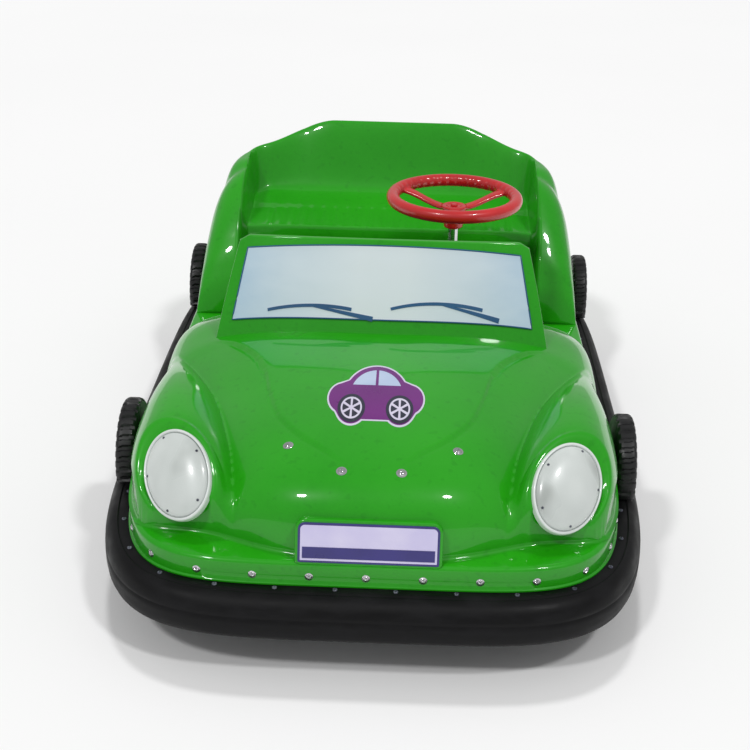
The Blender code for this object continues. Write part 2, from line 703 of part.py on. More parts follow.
def make_rear_axle():
    x, y = REAR_WHEEL
    hub_half = WHEEL_WIDTH / 2 + 0.004
    for side, name in ((-1, "right"), (1, "left")):
        make_wheel("rear_" + name, (side * x, y, WHEEL_RADIUS), WHEEL_RADIUS, WHEEL_WIDTH, hub_half)
    end = x + hub_half + 0.001
    collar = end + 0.006
    profile = [(0, -collar), (0.016, -collar), (0.016, -end), (AXLE_RADIUS, -end), (AXLE_RADIUS, end),
               (0.016, end), (0.016, collar), (0, collar)]
    turn = Matrix.Translation((0, y, WHEEL_RADIUS)) @ Matrix.Rotation(math.pi / 2, 4, "Y")
    finish("rear_axle", turned(profile, 16, turn), "bright_steel")
    near = x - hub_half - 0.001
    for side, name in ((-1, "right"), (1, "left")):
        low, high = sorted((side * near, side * (near - 0.020)))
        shape = box_mesh((low, y - 0.025, WHEEL_RADIUS - 0.022), (high, y + 0.025, PLATE_LOW - GAP))
        block = finish("axle_bracket_" + name, shape, "grey_steel")
        bore = AXLE_RADIUS + PIN_GAP
        cut(block, turned([(0, -0.5), (bore, -0.5), (bore, 0.5), (0, 0.5)], 24, turn))


def make_drive_unit():
    centre = Vector((0, DRIVE_Y, DRIVE_RADIUS))
    half = DRIVE_WIDTH / 2
    inner = half + RUN_GAP
    outer = inner + FORK_PLATE
    make_wheel("drive", centre, DRIVE_RADIUS, DRIVE_WIDTH, half + 0.004, (-outer - 0.004, outer))
    deep = 0.045
    low = (-outer, DRIVE_Y - deep, DRIVE_RADIUS - 0.022)
    shape = box_mesh(low, (outer, DRIVE_Y + deep, FORK_TOP))
    fork = finish("drive_fork", shape, "grey_steel", origin=centre)
    cut(fork, box_mesh((-inner, DRIVE_Y - 0.2, 0), (inner, DRIVE_Y + 0.2, FORK_TOP - FORK_PLATE)))
    turn = Matrix.Translation(centre) @ Matrix.Rotation(math.pi / 2, 4, "Y")
    bore = AXLE_RADIUS + PIN_GAP
    cut(fork, turned([(0, -0.2), (bore, -0.2), (bore, 0.2), (0, 0.2)], 24, turn))
    low, high = FORK_TOP - 0.004, BRIDGE_TOP + 0.004
    shaft = [(0, low), (SWIVEL_RADIUS, low), (SWIVEL_RADIUS, high), (0, high)]
    cut(fork, turned(shaft, 24, Matrix.Translation((0, DRIVE_Y, 0))), "UNION")
    start = outer + GAP
    end = start + MOTOR_LENGTH
    motor = [(0, start), (MOTOR_RADIUS, start), (MOTOR_RADIUS, end - 0.006)]
    motor += [(MOTOR_RADIUS - 0.006, end), (0, end)]
    finish("drive_motor", turned(motor, 20, turn), "dark_motor", origin=centre)
    sprocket = tube_profile(SWIVEL_RADIUS + GAP, SPROCKET_RADIUS, SPROCKET_LOW, SPROCKET_LOW + SPROCKET_THICK)
    place = Matrix.Translation((0, DRIVE_Y, 0))
    finish("swivel_sprocket", turned(sprocket, 20, place), "bright_steel", origin=centre)


def make_swivel_bridge():
    plate_top = PLATE_LOW + PLATE_THICK + GAP
    deep = BRIDGE_WIDTH / 2
    low = (-BRIDGE_HALF, DRIVE_Y - deep, plate_top)
    shape = box_mesh(low, (BRIDGE_HALF, DRIVE_Y + deep, BRIDGE_TOP))
    bridge = finish("swivel_bridge", shape, "grey_steel")
    room = BRIDGE_HALF - BRIDGE_THICK
    cut(bridge, box_mesh((-room, DRIVE_Y - 0.2, 0), (room, DRIVE_Y + 0.2, BRIDGE_TOP - BRIDGE_THICK)))
    bore = SWIVEL_RADIUS + PIN_GAP
    cut(bridge, turned([(0, 0), (bore, 0), (bore, 1), (0, 1)], 24, Matrix.Translation((0, DRIVE_Y, 0))))


def make_chain():
    """A loop round both sprockets, as one flat band."""
    start = Vector((0, DRIVE_Y))
    end = Vector(COLUMN)
    along = math.atan2(end.y - start.y, end.x - start.x)
    steps = 14
    loops = []
    for radius in (SPROCKET_RADIUS + 0.0008, SPROCKET_RADIUS + 0.0008 + CHAIN_WIDTH):
        loop = []
        for centre, first in ((end, along - math.pi / 2), (start, along + math.pi / 2)):
            for k in range(steps + 1):
                angle = first + math.pi * k / steps
                loop.append((centre.x + radius * math.cos(angle), centre.y + radius * math.sin(angle)))
        loops.append(loop)
    heights = (SPROCKET_LOW + 0.0005, SPROCKET_LOW + SPROCKET_THICK - 0.0005)
    count = len(loops[0])
    order = [(0, 0), (1, 0), (1, 1), (0, 1)]
    points = [(*p, heights[h]) for ring, h in order for p in loops[ring]]
    faces = []
    for i in range(4):
        j = (i + 1) % 4
        for k in range(count):
            n = (k + 1) % count
            faces.append((i * count + k, i * count + n, j * count + n, j * count + k))
    finish("steering_chain", mesh_of(points, faces), "dark_chain")


def make_steering():
    x, y = COLUMN
    place = Matrix.Translation((x, y, 0))
    column_top = HUB_LOW + 0.020
    sprocket_top = SPROCKET_LOW + SPROCKET_THICK
    foot_top = SPROCKET_LOW - 0.012
    low = foot_top - 0.030
    shaft = [(0, low), (COLUMN_RADIUS, low), (COLUMN_RADIUS, column_top), (0, column_top)]
    axis = (x, y, WHEEL_HEIGHT)
    finish("steering_column", turned(shaft, 16, place), "chrome", origin=axis)
    sprocket = tube_profile(COLUMN_RADIUS + GAP, SPROCKET_RADIUS, SPROCKET_LOW, sprocket_top)
    finish("column_sprocket", turned(sprocket, 20, place), "bright_steel", origin=axis)
    bore = COLUMN_RADIUS + PIN_GAP
    plate_top = PLATE_LOW + PLATE_THICK + GAP
    foot = [(0, foot_top - 0.033), (bore, foot_top - 0.033), (bore, foot_top), (0.026, foot_top),
            (0.026, plate_top + 0.008), (0.045, plate_top + 0.008), (0.045, plate_top), (0, plate_top)]
    finish("column_foot_bearing", turned(foot, 16, place), "grey_steel")
    post = [(bore, LEDGE_TOP + GAP), (0.045, LEDGE_TOP + GAP), (0.045, LEDGE_TOP + 0.006),
            (0.021, LEDGE_TOP + 0.010), (0.021, POST_TOP), (bore, POST_TOP)]
    finish("steering_post", turned(post, 16, place), "grey_steel")
    make_steering_wheel(place, column_top)


def make_steering_wheel(place, column_top):
    steps = 8
    ring = []
    for k in range(steps):
        angle = 2 * math.pi * k / steps
        ring.append((RIM_RADIUS + RIM_TUBE * math.cos(angle), WHEEL_HEIGHT + RIM_TUBE * math.sin(angle)))
    wheel = finish("steering_wheel", turned(ring, 32, place), "red_plastic", 50, (*COLUMN, WHEEL_HEIGHT))
    bore = COLUMN_RADIUS + GAP
    seat = column_top + 0.0005
    hub = [(0, seat), (bore, seat), (bore, HUB_LOW), (0.024, HUB_LOW), (0.0255, HUB_TOP - 0.022),
           (0.037, HUB_TOP - 0.010), (0.037, HUB_TOP - 0.003), (0.033, HUB_TOP), (0, HUB_TOP)]
    cut(wheel, turned(hub, 24, place), "UNION")
    for k in range(3):
        angle = -math.pi / 2 + k * 2 * math.pi / 3
        cut(wheel, spoke_mesh(place, angle, HUB_TOP - 0.012), "UNION")


def spoke_mesh(place, angle, low):
    """A flat bar from inside the hub up to the rim."""
    points = []
    stations = ((0.022, low, 0.015, 0.010), (RIM_RADIUS * 0.6, low + 0.006, 0.014, 0.009),
                (RIM_RADIUS - 0.002, WHEEL_HEIGHT - 0.004, 0.017, 0.008))
    for reach, height, half, thick in stations:
        for side, up in ((-half, 0), (half, 0), (half, thick), (-half, thick)):
            points.append(Vector((reach, side, height + up)))
    faces = [(0, 1, 2, 3), (8, 9, 10, 11)]
    for a in (0, 4):
        faces += [(a + k, a + (k + 1) % 4, a + 4 + (k + 1) % 4, a + 4 + k) for k in range(4)]
    turn = place @ Matrix.Rotation(angle, 4, "Z")
    return mesh_of([turn @ p for p in points], faces)


def make_floor():
    rear = SEAT_FRONT + TUB_WALL
    plate_top = PLATE_LOW + PLATE_THICK + GAP
    top = LEDGE_TOP
    shape = box_mesh((-FLOOR_HALF, FLOOR_FRONT, plate_top), (FLOOR_HALF, rear, top))
    floor = finish("cockpit_floor", shape, "floor_mat")
    room = FLOOR_HALF - FLOOR_THICK
    cut(floor, box_mesh((-room, FLOOR_FRONT - 0.1, 0), (room, rear + 0.1, top - FLOOR_THICK)))
    bore = COLUMN_RADIUS + 0.003
    cut(floor, turned([(0, 0), (bore, 0), (bore, 1), (0, 1)], 24, Matrix.Translation((*COLUMN, 0))))


def make_pedal():
    x, y = PEDAL
    side = [(0, 0), (-0.10, 0), (-0.10, 0.012), (-0.085, 0.052), (-0.078, 0.050), (0, 0.008)]
    points = [(x + s * PEDAL_WIDTH / 2, y - a, LEDGE_TOP + GAP + b) for s in (-1, 1) for a, b in side]
    count = len(side)
    faces = [tuple(range(count)), tuple(range(count, 2 * count))]
    faces += [(k, (k + 1) % count, count + (k + 1) % count, count + k) for k in range(count)]
    finish("accelerator_pedal", mesh_of(points, faces), "black_plastic")


def make_battery():
    wide, deep, tall = BATTERY
    low = PLATE_LOW + PLATE_THICK + GAP
    y = (SEAT_FRONT + SEAT_BACK) / 2
    shape = box_mesh((-wide / 2, y - deep / 2, low), (wide / 2, y + deep / 2, low + tall))
    finish("battery_block", shape, "battery_case")


def make_materials():
    looks = {
        "green_gelcoat": ((0.014, 0.32, 0.004), 0.18, 0.0),
        "black_rubber": ((0.012, 0.012, 0.014), 0.55, 0.0),
        "black_plastic": ((0.012, 0.012, 0.015), 0.35, 0.0),
        "red_plastic": ((0.65, 0.015, 0.015), 0.3, 0.0),
        "screen_print": ((0.55, 0.66, 0.78), 0.25, 0.0),
        "plate_white": ((0.8, 0.8, 0.85), 0.3, 0.0),
        "lamp_rim": ((0.85, 0.87, 0.86), 0.25, 0.0),
        "lamp_lens": ((0.75, 0.78, 0.75), 0.2, 0.0),
        "grey_steel": ((0.20, 0.21, 0.22), 0.5, 0.9),
        "bright_steel": ((0.55, 0.56, 0.58), 0.3, 1.0),
        "cast_metal": ((0.45, 0.46, 0.48), 0.45, 0.9),
        "chrome": ((0.8, 0.8, 0.82), 0.08, 1.0),
        "dark_chain": ((0.06, 0.06, 0.065), 0.45, 0.9),
        "dark_motor": ((0.04, 0.045, 0.05), 0.5, 0.3),
        "floor_mat": ((0.03, 0.03, 0.032), 0.8, 0.0),
        "battery_case": ((0.03, 0.03, 0.035), 0.5, 0.0),
    }
    for name, (colour, roughness, metallic) in looks.items():
        MATERIALS[name] = material(name, colour, roughness, metallic)


def main():
    clear_scene()
    make_materials()
    make_rings()
    make_front_cowl()
    make_windscreen()
    make_headlight(-1, "right")
    make_headlight(1, "left")
    make_number_plate()
    make_seat_tub()
    for y, end in ((FRONT_TRIM_Y, "front"), (REAR_TRIM_Y, "rear")):
        for side, name in ((-1, "right"), (1, "left")):
            make_trim_wheel(side, y, end + "_" + name)
    make_rear_axle()
    make_drive_unit()
    make_swivel_bridge()
    make_chain()
    make_steering()
    make_floor()
    make_pedal()
    make_battery()


main()
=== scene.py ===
"""The looks of a bumper car: moulded body, rubber ring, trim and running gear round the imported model.

Metres, +Z up, standing on z = 0. The front faces -Y and +X is the driver's side.
"""

import json
import math

import bmesh
import bpy
import numpy as np
from mathutils import Euler, Matrix, Vector
from mathutils.geometry import delaunay_2d_cdt

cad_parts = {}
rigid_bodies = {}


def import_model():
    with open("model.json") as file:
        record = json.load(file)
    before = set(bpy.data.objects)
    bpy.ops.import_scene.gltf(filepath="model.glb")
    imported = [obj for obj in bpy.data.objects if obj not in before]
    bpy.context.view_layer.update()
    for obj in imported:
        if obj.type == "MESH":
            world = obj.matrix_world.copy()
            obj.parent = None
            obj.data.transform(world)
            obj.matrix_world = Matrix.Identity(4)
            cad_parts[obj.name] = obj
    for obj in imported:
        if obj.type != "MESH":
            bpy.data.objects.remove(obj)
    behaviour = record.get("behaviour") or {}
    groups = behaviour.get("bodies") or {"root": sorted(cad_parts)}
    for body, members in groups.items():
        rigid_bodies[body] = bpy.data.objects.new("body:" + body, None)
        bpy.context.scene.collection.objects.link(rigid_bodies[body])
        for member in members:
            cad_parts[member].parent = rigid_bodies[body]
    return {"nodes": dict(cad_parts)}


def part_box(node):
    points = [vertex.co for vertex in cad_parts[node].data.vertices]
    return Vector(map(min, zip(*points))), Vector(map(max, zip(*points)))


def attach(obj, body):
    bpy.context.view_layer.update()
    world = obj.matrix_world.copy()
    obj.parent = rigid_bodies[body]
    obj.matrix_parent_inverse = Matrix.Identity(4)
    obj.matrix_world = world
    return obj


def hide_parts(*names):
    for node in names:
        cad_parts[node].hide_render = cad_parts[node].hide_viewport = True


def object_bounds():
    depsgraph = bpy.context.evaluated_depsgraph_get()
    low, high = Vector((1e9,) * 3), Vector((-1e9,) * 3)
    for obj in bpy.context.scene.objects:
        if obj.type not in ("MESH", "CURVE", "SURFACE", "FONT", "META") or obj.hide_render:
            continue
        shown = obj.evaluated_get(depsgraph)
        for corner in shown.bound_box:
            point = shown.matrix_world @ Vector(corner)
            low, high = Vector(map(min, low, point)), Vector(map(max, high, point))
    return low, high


for old in list(bpy.data.objects):
    bpy.data.objects.remove(old, do_unlink=True)
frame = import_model()
CAD_LOW, CAD_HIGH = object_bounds()

# ---- sizes the CAD model is built to ----
RUBBER_HALF = (CAD_HIGH.x, CAD_HIGH.y)
RUBBER_POWER = 4.6
RUBBER_LOW = 0.090
RUBBER_TOP = 0.180
SKIRT_HALF = (0.512, 0.873)
SKIRT_POWER = 5.6
BODY_HALF = (0.506, 0.853)
FRONT_POWER = 7.0
SKIRT_LOW = 0.150
LEDGE_TOP = 0.230
LEDGE_WIDTH = 0.100
COWL_RISE = 0.200
COWL_REAR = -0.030
COWL_HORN = 0.190
FENDER_RISE = 0.190
NOSE_EDGE = 14
SIDE_EDGE = 30
FOOT_PULL = 0.09
CORNER_LEDGE = (0.006, 0.014)
SCREEN_FOOT = 0.380
SCREEN_HEAD = 0.330
SCREEN_TOP = 0.615
SCREEN_FRONT = -0.190
SCREEN_LEAN = 0.100
SCREEN_BACK = -0.040
SCREEN_THICK = 0.012
SCREEN_CROWN = 0.03
SCREEN_BOW = 0.040
SCREEN_SINK = 0.015
SCREEN_ROUND = 0.014
PANEL_MARGIN = 0.026
PANEL_HEIGHTS = (0.22, 0.95)
PANEL_CROWN = 0.06
LAMP_CENTRE = (0.376, -0.735, 0.332)
LAMP_HALF = (0.071, 0.094)
LAMP_TURN = math.radians(26)
LAMP_TILT = math.radians(36)
LAMP_ROLL = math.radians(38)
LAMP_SEAT = 0.45
NUMBER_PLATE = (0.266, 0.078)
NUMBER_PLATE_TILT = math.radians(13)
NUMBER_PLATE_FOOT = (-0.874, 0.232)
SEAT_TOP = 0.432
SEAT_SLOPE = 0.09
SEAT_FRONT = 0.485
SEAT_BACK = 0.748
BACK_LEAN = 0.078
WING_LEAN = 0.016
CAVITY_ROUND = 0.055
SEAT_HALF = 0.385
BACK_TOP = 0.640
SHOULDER_TOP = 0.572
PLATEAU_HALF = 0.165
WING_FOOT = 0.345
WING_TOP = 0.585
WING_EDGE = 12
BACK_EDGE = 180
TRIM_WHEEL_RADIUS = 0.112
TRIM_WHEEL_WIDTH = 0.040
TRIM_WHEEL_HEIGHT = 0.210
TRIM_WHEEL_Y = {"front": -0.400, "rear": 0.622}
COLUMN = (0.165, 0.250)
WHEEL_HEIGHT = 0.600
RIM_RADIUS = 0.154
RIM_TUBE = 0.016
HUB_LOW = 0.524
WHEEL_RADIUS = 0.090
HUB_RADIUS = 0.055

# ---- looks only ----
STEP_RISE = 0.004
STEP_WIDTH = 0.005
GROOVE_DEPTH = 0.0016
SHELL = 0.004
FILLET = 0.009
ROUND_STEPS = 320
RIB_PITCH = 0.034
RIB_DEPTH = 0.0028
LENS_EDGE = 0.918
LENS_FOOT = 0.003
LENS_DOME = 0.02232
PLATE_CORNERS = (0.013, 0.003)
PRINT_ROWS = 13
PRINT_COLUMNS = 61
WIPER_SCALE = 0.21
ICON_CENTRE = (0.0, -0.522)
ICON_HALF = 0.097
ICON_SLANT = 1.93
ICON_WHEELS = ((-0.5, -0.33), (0.5, -0.33))
ICON_ARCH = 0.305
ICON_TYRE = 0.285
ICON_RIM = (0.185, 0.22)
TREAD_LUGS = 30
CHAIN_PITCH = 0.0127
CHAIN_REACH = 0.0038
WORLD_DIM = 0.42
CAMERA_PLACE = (0.0590, -3.1095, 1.6482)
CAMERA_ANGLES = (math.radians(-1.393), math.radians(24.629), math.radians(1.338))
CAMERA_LENS = 67.2
SIDES = ((-1, "right"), (1, "left"))


# ======================= materials =======================


def nodes_of(name):
    """A new material with its node tree and its Principled shader."""
    paint = bpy.data.materials.new(name)
    paint.use_nodes = True
    tree = paint.node_tree
    return paint, tree, tree.nodes["Principled BSDF"]


def feed(tree, node, values):
    """Gives a node's inputs their values: a socket is linked, and anything else is set."""
    for name, value in values.items():
        if isinstance(value, bpy.types.NodeSocket):
            tree.links.new(value, node.inputs[name])
        else:
            node.inputs[name].default_value = value


def made(tree, kind, values):
    node = tree.nodes.new("ShaderNode" + kind)
    feed(tree, node, values)
    return node


def object_coordinates(tree, stretch=(1, 1, 1)):
    place = tree.nodes.new("ShaderNodeTexCoord").outputs["Object"]
    return made(tree, "Mapping", {"Scale": stretch, "Vector": place}).outputs["Vector"]


def noise(tree, scale, detail=3.0, stretch=(1, 1, 1)):
    place = object_coordinates(tree, stretch)
    return made(tree, "TexNoise", {"Scale": scale, "Detail": detail, "Vector": place}).outputs["Fac"]


def ramp(tree, source, stops):
    """Colours at positions along a value."""
    node = made(tree, "ValToRGB", {"Fac": source})
    points = node.color_ramp.elements
    while len(points) < len(stops):
        points.new(0.5)
    for point, (position, colour) in zip(points, stops):
        point.position = position
        point.color = (*colour, 1.0)
    return node.outputs["Color"]


def spread(tree, source, low, high, start=0.3, end=0.7):
    """Maps a value between start and end onto low to high."""
    values = {"From Min": start, "From Max": end, "To Min": low, "To Max": high, "Value": source}
    return made(tree, "MapRange", values).outputs["Result"]


def bump(tree, shader, source, distance, strength=1.0):
    node = made(tree, "Bump", {"Distance": distance, "Strength": strength, "Height": source})
    feed(tree, shader, {"Normal": node.outputs["Normal"]})


def mixed(tree, first, second, factor):
    """Blends two colours; the node's inputs 0, 6 and 7 are its factor and its colours."""
    node = tree.nodes.new("ShaderNodeMix")
    node.data_type = "RGBA"
    second = (*second, 1.0) if isinstance(second, tuple) else second
    feed(tree, node, {6: first, 7: second, 0: factor})
    return node.outputs[2]


def worn(name, light, dark, rough, metallic=0.0, scale=9.0, grain=400.0, depth=0.0001, coat=0.0):
    """A surface whose colour drifts between two tones, with a fine grain and uneven gloss."""
    paint, tree, shader = nodes_of(name)
    drift = noise(tree, scale)
    feed(tree, shader, {
        "Base Color": ramp(tree, drift, [(0.35, dark), (0.65, light)]),
        "Roughness": spread(tree, drift, *rough),
        "Metallic": metallic,
        "Coat Weight": coat,
        "Coat Roughness": 0.08,
    })
    bump(tree, shader, noise(tree, grain, 2.0), depth)
    return paint


def make_gelcoat():
    """Glossy pigmented moulding: a clear coat over colour that drifts a little, with a faint ripple."""
    paint, tree, shader = nodes_of("green_gelcoat")
    drift = noise(tree, 3.5, 4.0)
    fine = noise(tree, 60.0, 2.0)
    colour = ramp(tree, drift, [(0.3, (0.010, 0.285, 0.002)), (0.7, (0.018, 0.350, 0.005))])
    speck = ramp(tree, fine, [(0.30, (0.008, 0.245, 0.002)), (0.42, (0.018, 0.360, 0.005))])
    feed(tree, shader, {
        "Base Color": mixed(tree, colour, speck, spread(tree, fine, 0.35, 0.0)),
        "Roughness": spread(tree, drift, 0.30, 0.42),
        "Specular IOR Level": 0.15,
        "Coat Weight": 0.7,
        "Coat Roughness": 0.05,
        "Coat IOR": 1.5,
    })
    bump(tree, shader, noise(tree, 26.0, 2.0), 0.0006, 0.25)
    return paint


def make_rubber(name, shine):
    """Black rubber with a fine mould grain and grey scuffs."""
    paint, tree, shader = nodes_of(name)
    scuff = noise(tree, 14.0, 8.0, (1, 1, 3))
    feed(tree, shader, {
        "Base Color": ramp(tree, scuff, [(0.45, (0.0025, 0.0025, 0.003)), (0.72, (0.008, 0.008, 0.009))]),
        "Specular IOR Level": 0.18,
        "Roughness": spread(tree, scuff, shine, shine + 0.25),
    })
    bump(tree, shader, noise(tree, 350.0, 2.0), 0.0004, 0.4)
    return paint


def make_screen_print():
    """A pale blue print, nearly white in the middle and bluer towards its two sides."""
    paint, tree, shader = nodes_of("screen_print")
    place = tree.nodes.new("ShaderNodeTexCoord").outputs["Object"]
    split = made(tree, "SeparateXYZ", {"Vector": place})
    side = made(tree, "Math", {0: split.outputs["X"]})
    side.operation = "ABSOLUTE"
    across = spread(tree, side.outputs["Value"], 0.0, 1.0, 0.02, SCREEN_FOOT)
    stops = [(0.1, (0.70, 0.77, 0.80)), (0.55, (0.55, 0.66, 0.74)), (1.0, (0.34, 0.52, 0.70))]
    colour = ramp(tree, across, stops)
    cloudy = spread(tree, noise(tree, 7.0, 3.0, (1, 1, 2.5)), 0.0, 0.35)
    feed(tree, shader, {
        "Base Color": mixed(tree, colour, (0.72, 0.80, 0.86), cloudy),
        "Roughness": 0.28,
        "Coat Weight": 0.35,
    })
    bump(tree, shader, noise(tree, 55.0), 0.0003, 0.15)
    return paint


def make_lamp_lens():
    """Milky plastic with faint grey smears, stretched upright: painted shade standing for what stands behind
    the lens.
    """
    paint, tree, shader = nodes_of("lamp_lens")
    # This noise places the painted shade on the lens and also varies its gloss.
    painted_shade_smear = noise(tree, 11.0, 2.0, (1, 1, 0.35))
    # The grey stops are painted shade on the lens, not the plastic's own colour.
    stops = [(0.33, (0.40, 0.43, 0.41)), (0.46, (0.56, 0.60, 0.58)), (0.75, (0.66, 0.70, 0.68))]
    feed(tree, shader, {
        "Base Color": ramp(tree, painted_shade_smear, stops),
        "Roughness": spread(tree, painted_shade_smear, 0.22, 0.34),
        "Subsurface Weight": 0.15,
        "Subsurface Radius": (0.01, 0.01, 0.01),
        "Coat Weight": 0.4,
        "Coat Roughness": 0.06,
    })
    bump(tree, shader, noise(tree, 180.0), 0.0002, 0.2)
    return paint


def make_floor_mat():
    """Charcoal vinyl with a fine leather grain."""
    paint, tree, shader = nodes_of("floor_mat")
    cells = made(tree, "TexVoronoi", {"Scale": 420.0, "Vector": object_coordinates(tree)})
    dust = ramp(tree, noise(tree, 6.0, 6.0), [(0.4, (0.022, 0.022, 0.024)), (0.7, (0.060, 0.058, 0.055))])
    feed(tree, shader, {"Base Color": dust, "Roughness": 0.72})
    bump(tree, shader, cells.outputs["Distance"], 0.0006, 0.5)
    return paint


# Name, lighter tone, darker tone and range of roughness, then what differs from worn's own values.
WORN = (
    ("black_plastic", (0.007, 0.007, 0.008), (0.003, 0.003, 0.004), (0.36, 0.50), {}),
    ("red_plastic", (0.62, 0.012, 0.016), (0.50, 0.008, 0.012), (0.24, 0.36), {"grain": 220, "coat": 0.6}),
    ("plate_white", (0.68, 0.64, 0.86), (0.60, 0.56, 0.82), (0.28, 0.36), {"scale": 14, "coat": 0.3}),
    ("plate_navy", (0.034, 0.026, 0.20), (0.026, 0.020, 0.16), (0.26, 0.36), {"scale": 14, "coat": 0.3}),
    ("wiper_blue", (0.016, 0.100, 0.230), (0.012, 0.075, 0.185), (0.28, 0.38), {"coat": 0.3}),
    ("icon_purple", (0.165, 0.008, 0.200), (0.130, 0.006, 0.165), (0.24, 0.34), {"coat": 0.4}),
    ("icon_white", (0.70, 0.66, 0.80), (0.62, 0.58, 0.74), (0.26, 0.34), {"coat": 0.4}),
    ("icon_glass", (0.50, 0.60, 0.78), (0.42, 0.52, 0.72), (0.26, 0.34), {"coat": 0.4}),
    ("icon_dark", (0.012, 0.014, 0.040), (0.008, 0.010, 0.030), (0.26, 0.34), {"coat": 0.4}),
    ("lamp_rim", (0.76, 0.80, 0.78), (0.66, 0.70, 0.68), (0.20, 0.32), {"coat": 0.5}),
    ("grey_steel", (0.17, 0.18, 0.19), (0.10, 0.105, 0.11), (0.42, 0.62),
     {"metallic": 0.85, "scale": 12, "grain": 260, "depth": 0.0002}),
    ("bright_steel", (0.52, 0.53, 0.55), (0.36, 0.36, 0.38), (0.26, 0.46),
     {"metallic": 1.0, "scale": 16, "grain": 500}),
    ("cast_metal", (0.42, 0.43, 0.45), (0.28, 0.29, 0.31), (0.42, 0.58),
     {"metallic": 0.9, "scale": 18, "grain": 320, "depth": 0.0003}),
    ("chrome", (0.80, 0.80, 0.82), (0.62, 0.62, 0.65), (0.08, 0.22),
     {"metallic": 1.0, "scale": 22, "grain": 500, "depth": 0.00003}),
    ("dark_screw", (0.17, 0.18, 0.22), (0.07, 0.07, 0.10), (0.30, 0.45), {"metallic": 0.7, "scale": 60}),
    ("dark_chain", (0.070, 0.068, 0.065), (0.035, 0.033, 0.032), (0.36, 0.56),
     {"metallic": 0.85, "scale": 30}),
    ("dark_motor", (0.045, 0.050, 0.058), (0.025, 0.028, 0.034), (0.40, 0.58),
     {"metallic": 0.35, "scale": 12}),
    ("battery_case", (0.030, 0.030, 0.036), (0.016, 0.016, 0.020), (0.38, 0.55),
     {"metallic": 0.0, "scale": 10}),
)
LOOKS = {name: worn(name, light, dark, rough, **rest) for name, light, dark, rough, rest in WORN}
LOOKS["green_gelcoat"] = make_gelcoat()
LOOKS["black_rubber"] = make_rubber("black_rubber", 0.42)
LOOKS["tyre_rubber"] = make_rubber("tyre_rubber", 0.50)
LOOKS["screen_print"] = make_screen_print()
LOOKS["lamp_lens"] = make_lamp_lens()
LOOKS["floor_mat"] = make_floor_mat()


# ======================= mesh helpers =======================


def reshape(mesh, change):
    """Lets a function change a mesh through bmesh."""
    shape = bmesh.new()
    shape.from_mesh(mesh)
    change(shape)
    shape.to_mesh(mesh)
    shape.free()
    return mesh


def turn_outwards(shape):
    bmesh.ops.remove_doubles(shape, verts=shape.verts, dist=1e-6)
    bmesh.ops.recalc_face_normals(shape, faces=shape.faces)


def mesh_of(name, points, faces):
    """A mesh with its faces turned outwards."""
    mesh = bpy.data.meshes.new(name)
    mesh.from_pydata([tuple(p) for p in points], [], faces)
    return reshape(mesh, turn_outwards)


def placed(name, data):
    """A new object in the scene."""
    thing = bpy.data.objects.new(name, data)
    bpy.context.scene.collection.objects.link(thing)
    return thing


def add(name, mesh, look, body="car", stands_for=(), smooth=40):
    """Puts a mesh into the scene as a piece that rides on a body and stands for CAD nodes."""
    piece = placed(name, mesh)
    mesh.materials.clear()
    mesh.materials.append(LOOKS[look])
    mesh.shade_smooth()
    mesh.set_sharp_from_angle(angle=math.radians(smooth))
    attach(piece, body)
    if stands_for:
        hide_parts(*stands_for)
    return piece


def merged(name, meshes):
    """Several meshes as one."""
    shape = bmesh.new()
    for mesh in meshes:
        shape.from_mesh(mesh)
    mesh = bpy.data.meshes.new(name)
    shape.to_mesh(mesh)
    shape.free()
    return mesh


def grid_faces(rows, columns, wrap=False, first=0):
    faces = []
    for i in range(rows - 1):
        for j in range(columns if wrap else columns - 1):
            a = first + i * columns + j
            b = first + i * columns + (j + 1) % columns
            faces.append((a, b, b + columns, a + columns))
    return faces


def ring_faces(rows, columns):
    """The faces of a grid that is closed both ways."""
    last = (rows - 1) * columns
    faces = grid_faces(rows, columns, wrap=True)
    return faces + [(last + k, last + (k + 1) % columns, (k + 1) % columns, k) for k in range(columns)]


def prism(name, low, high):
    """A solid between two outlines of the same number of points."""
    count = len(low)
    faces = [tuple(range(count)), tuple(range(count, 2 * count))[::-1]]
    faces += [(k, (k + 1) % count, count + (k + 1) % count, count + k) for k in range(count)]
    return mesh_of(name, low + high, faces)


def rim_of(rows, columns):
    """The indices round a grid's edge, in order."""
    bottom = list(range(columns))
    right = [i * columns + columns - 1 for i in range(1, rows)]
    top = [(rows - 1) * columns + j for j in range(columns - 2, -1, -1)]
    left = [i * columns for i in range(rows - 2, 0, -1)]
    return bottom + right + top + left


def shell_of(name, outer, inner):
    """A closed shell between two grids of the same shape."""
    rows, columns = outer.shape[:2]
    count = rows * columns
    points = np.concatenate([outer.reshape(-1, 3), inner.reshape(-1, 3)])
    faces = grid_faces(rows, columns)
    faces += [face[::-1] for face in grid_faces(rows, columns, first=count)]
    rim = rim_of(rows, columns)
    for a, b in zip(rim, rim[1:] + rim[:1]):
        faces.append((b, a, a + count, b + count))
    return mesh_of(name, points, faces)


def turned(name, profile, steps=48, matrix=None, ripple=None):
    """A solid turned about +Z from (radius, height) points; ripple moves a point outwards."""
    angles = np.arange(steps) * 2 * math.pi / steps
    points = []
    for radius, height in profile:
        for angle in angles:
            reach = radius + (ripple(angle, radius, height) if ripple else 0.0)
            points.append(Vector((reach * math.cos(angle), reach * math.sin(angle), height)))
    if matrix is not None:
        points = [matrix @ p for p in points]
    if profile[0][0] > 1e-6 and profile[-1][0] > 1e-6:
        return mesh_of(name, points, ring_faces(len(profile), steps))
    faces = grid_faces(len(profile), steps, wrap=True)
    if profile[0][0] > 1e-6:
        faces.append(tuple(range(steps)))
    return mesh_of(name, points, faces)


def arc(centre, radius, start, end, steps):
    """Points of an arc in a section plane, in degrees."""
    turns = np.radians(np.linspace(start, end, steps))
    return [(centre[0] + radius * math.cos(t), centre[1] + radius * math.sin(t)) for t in turns]


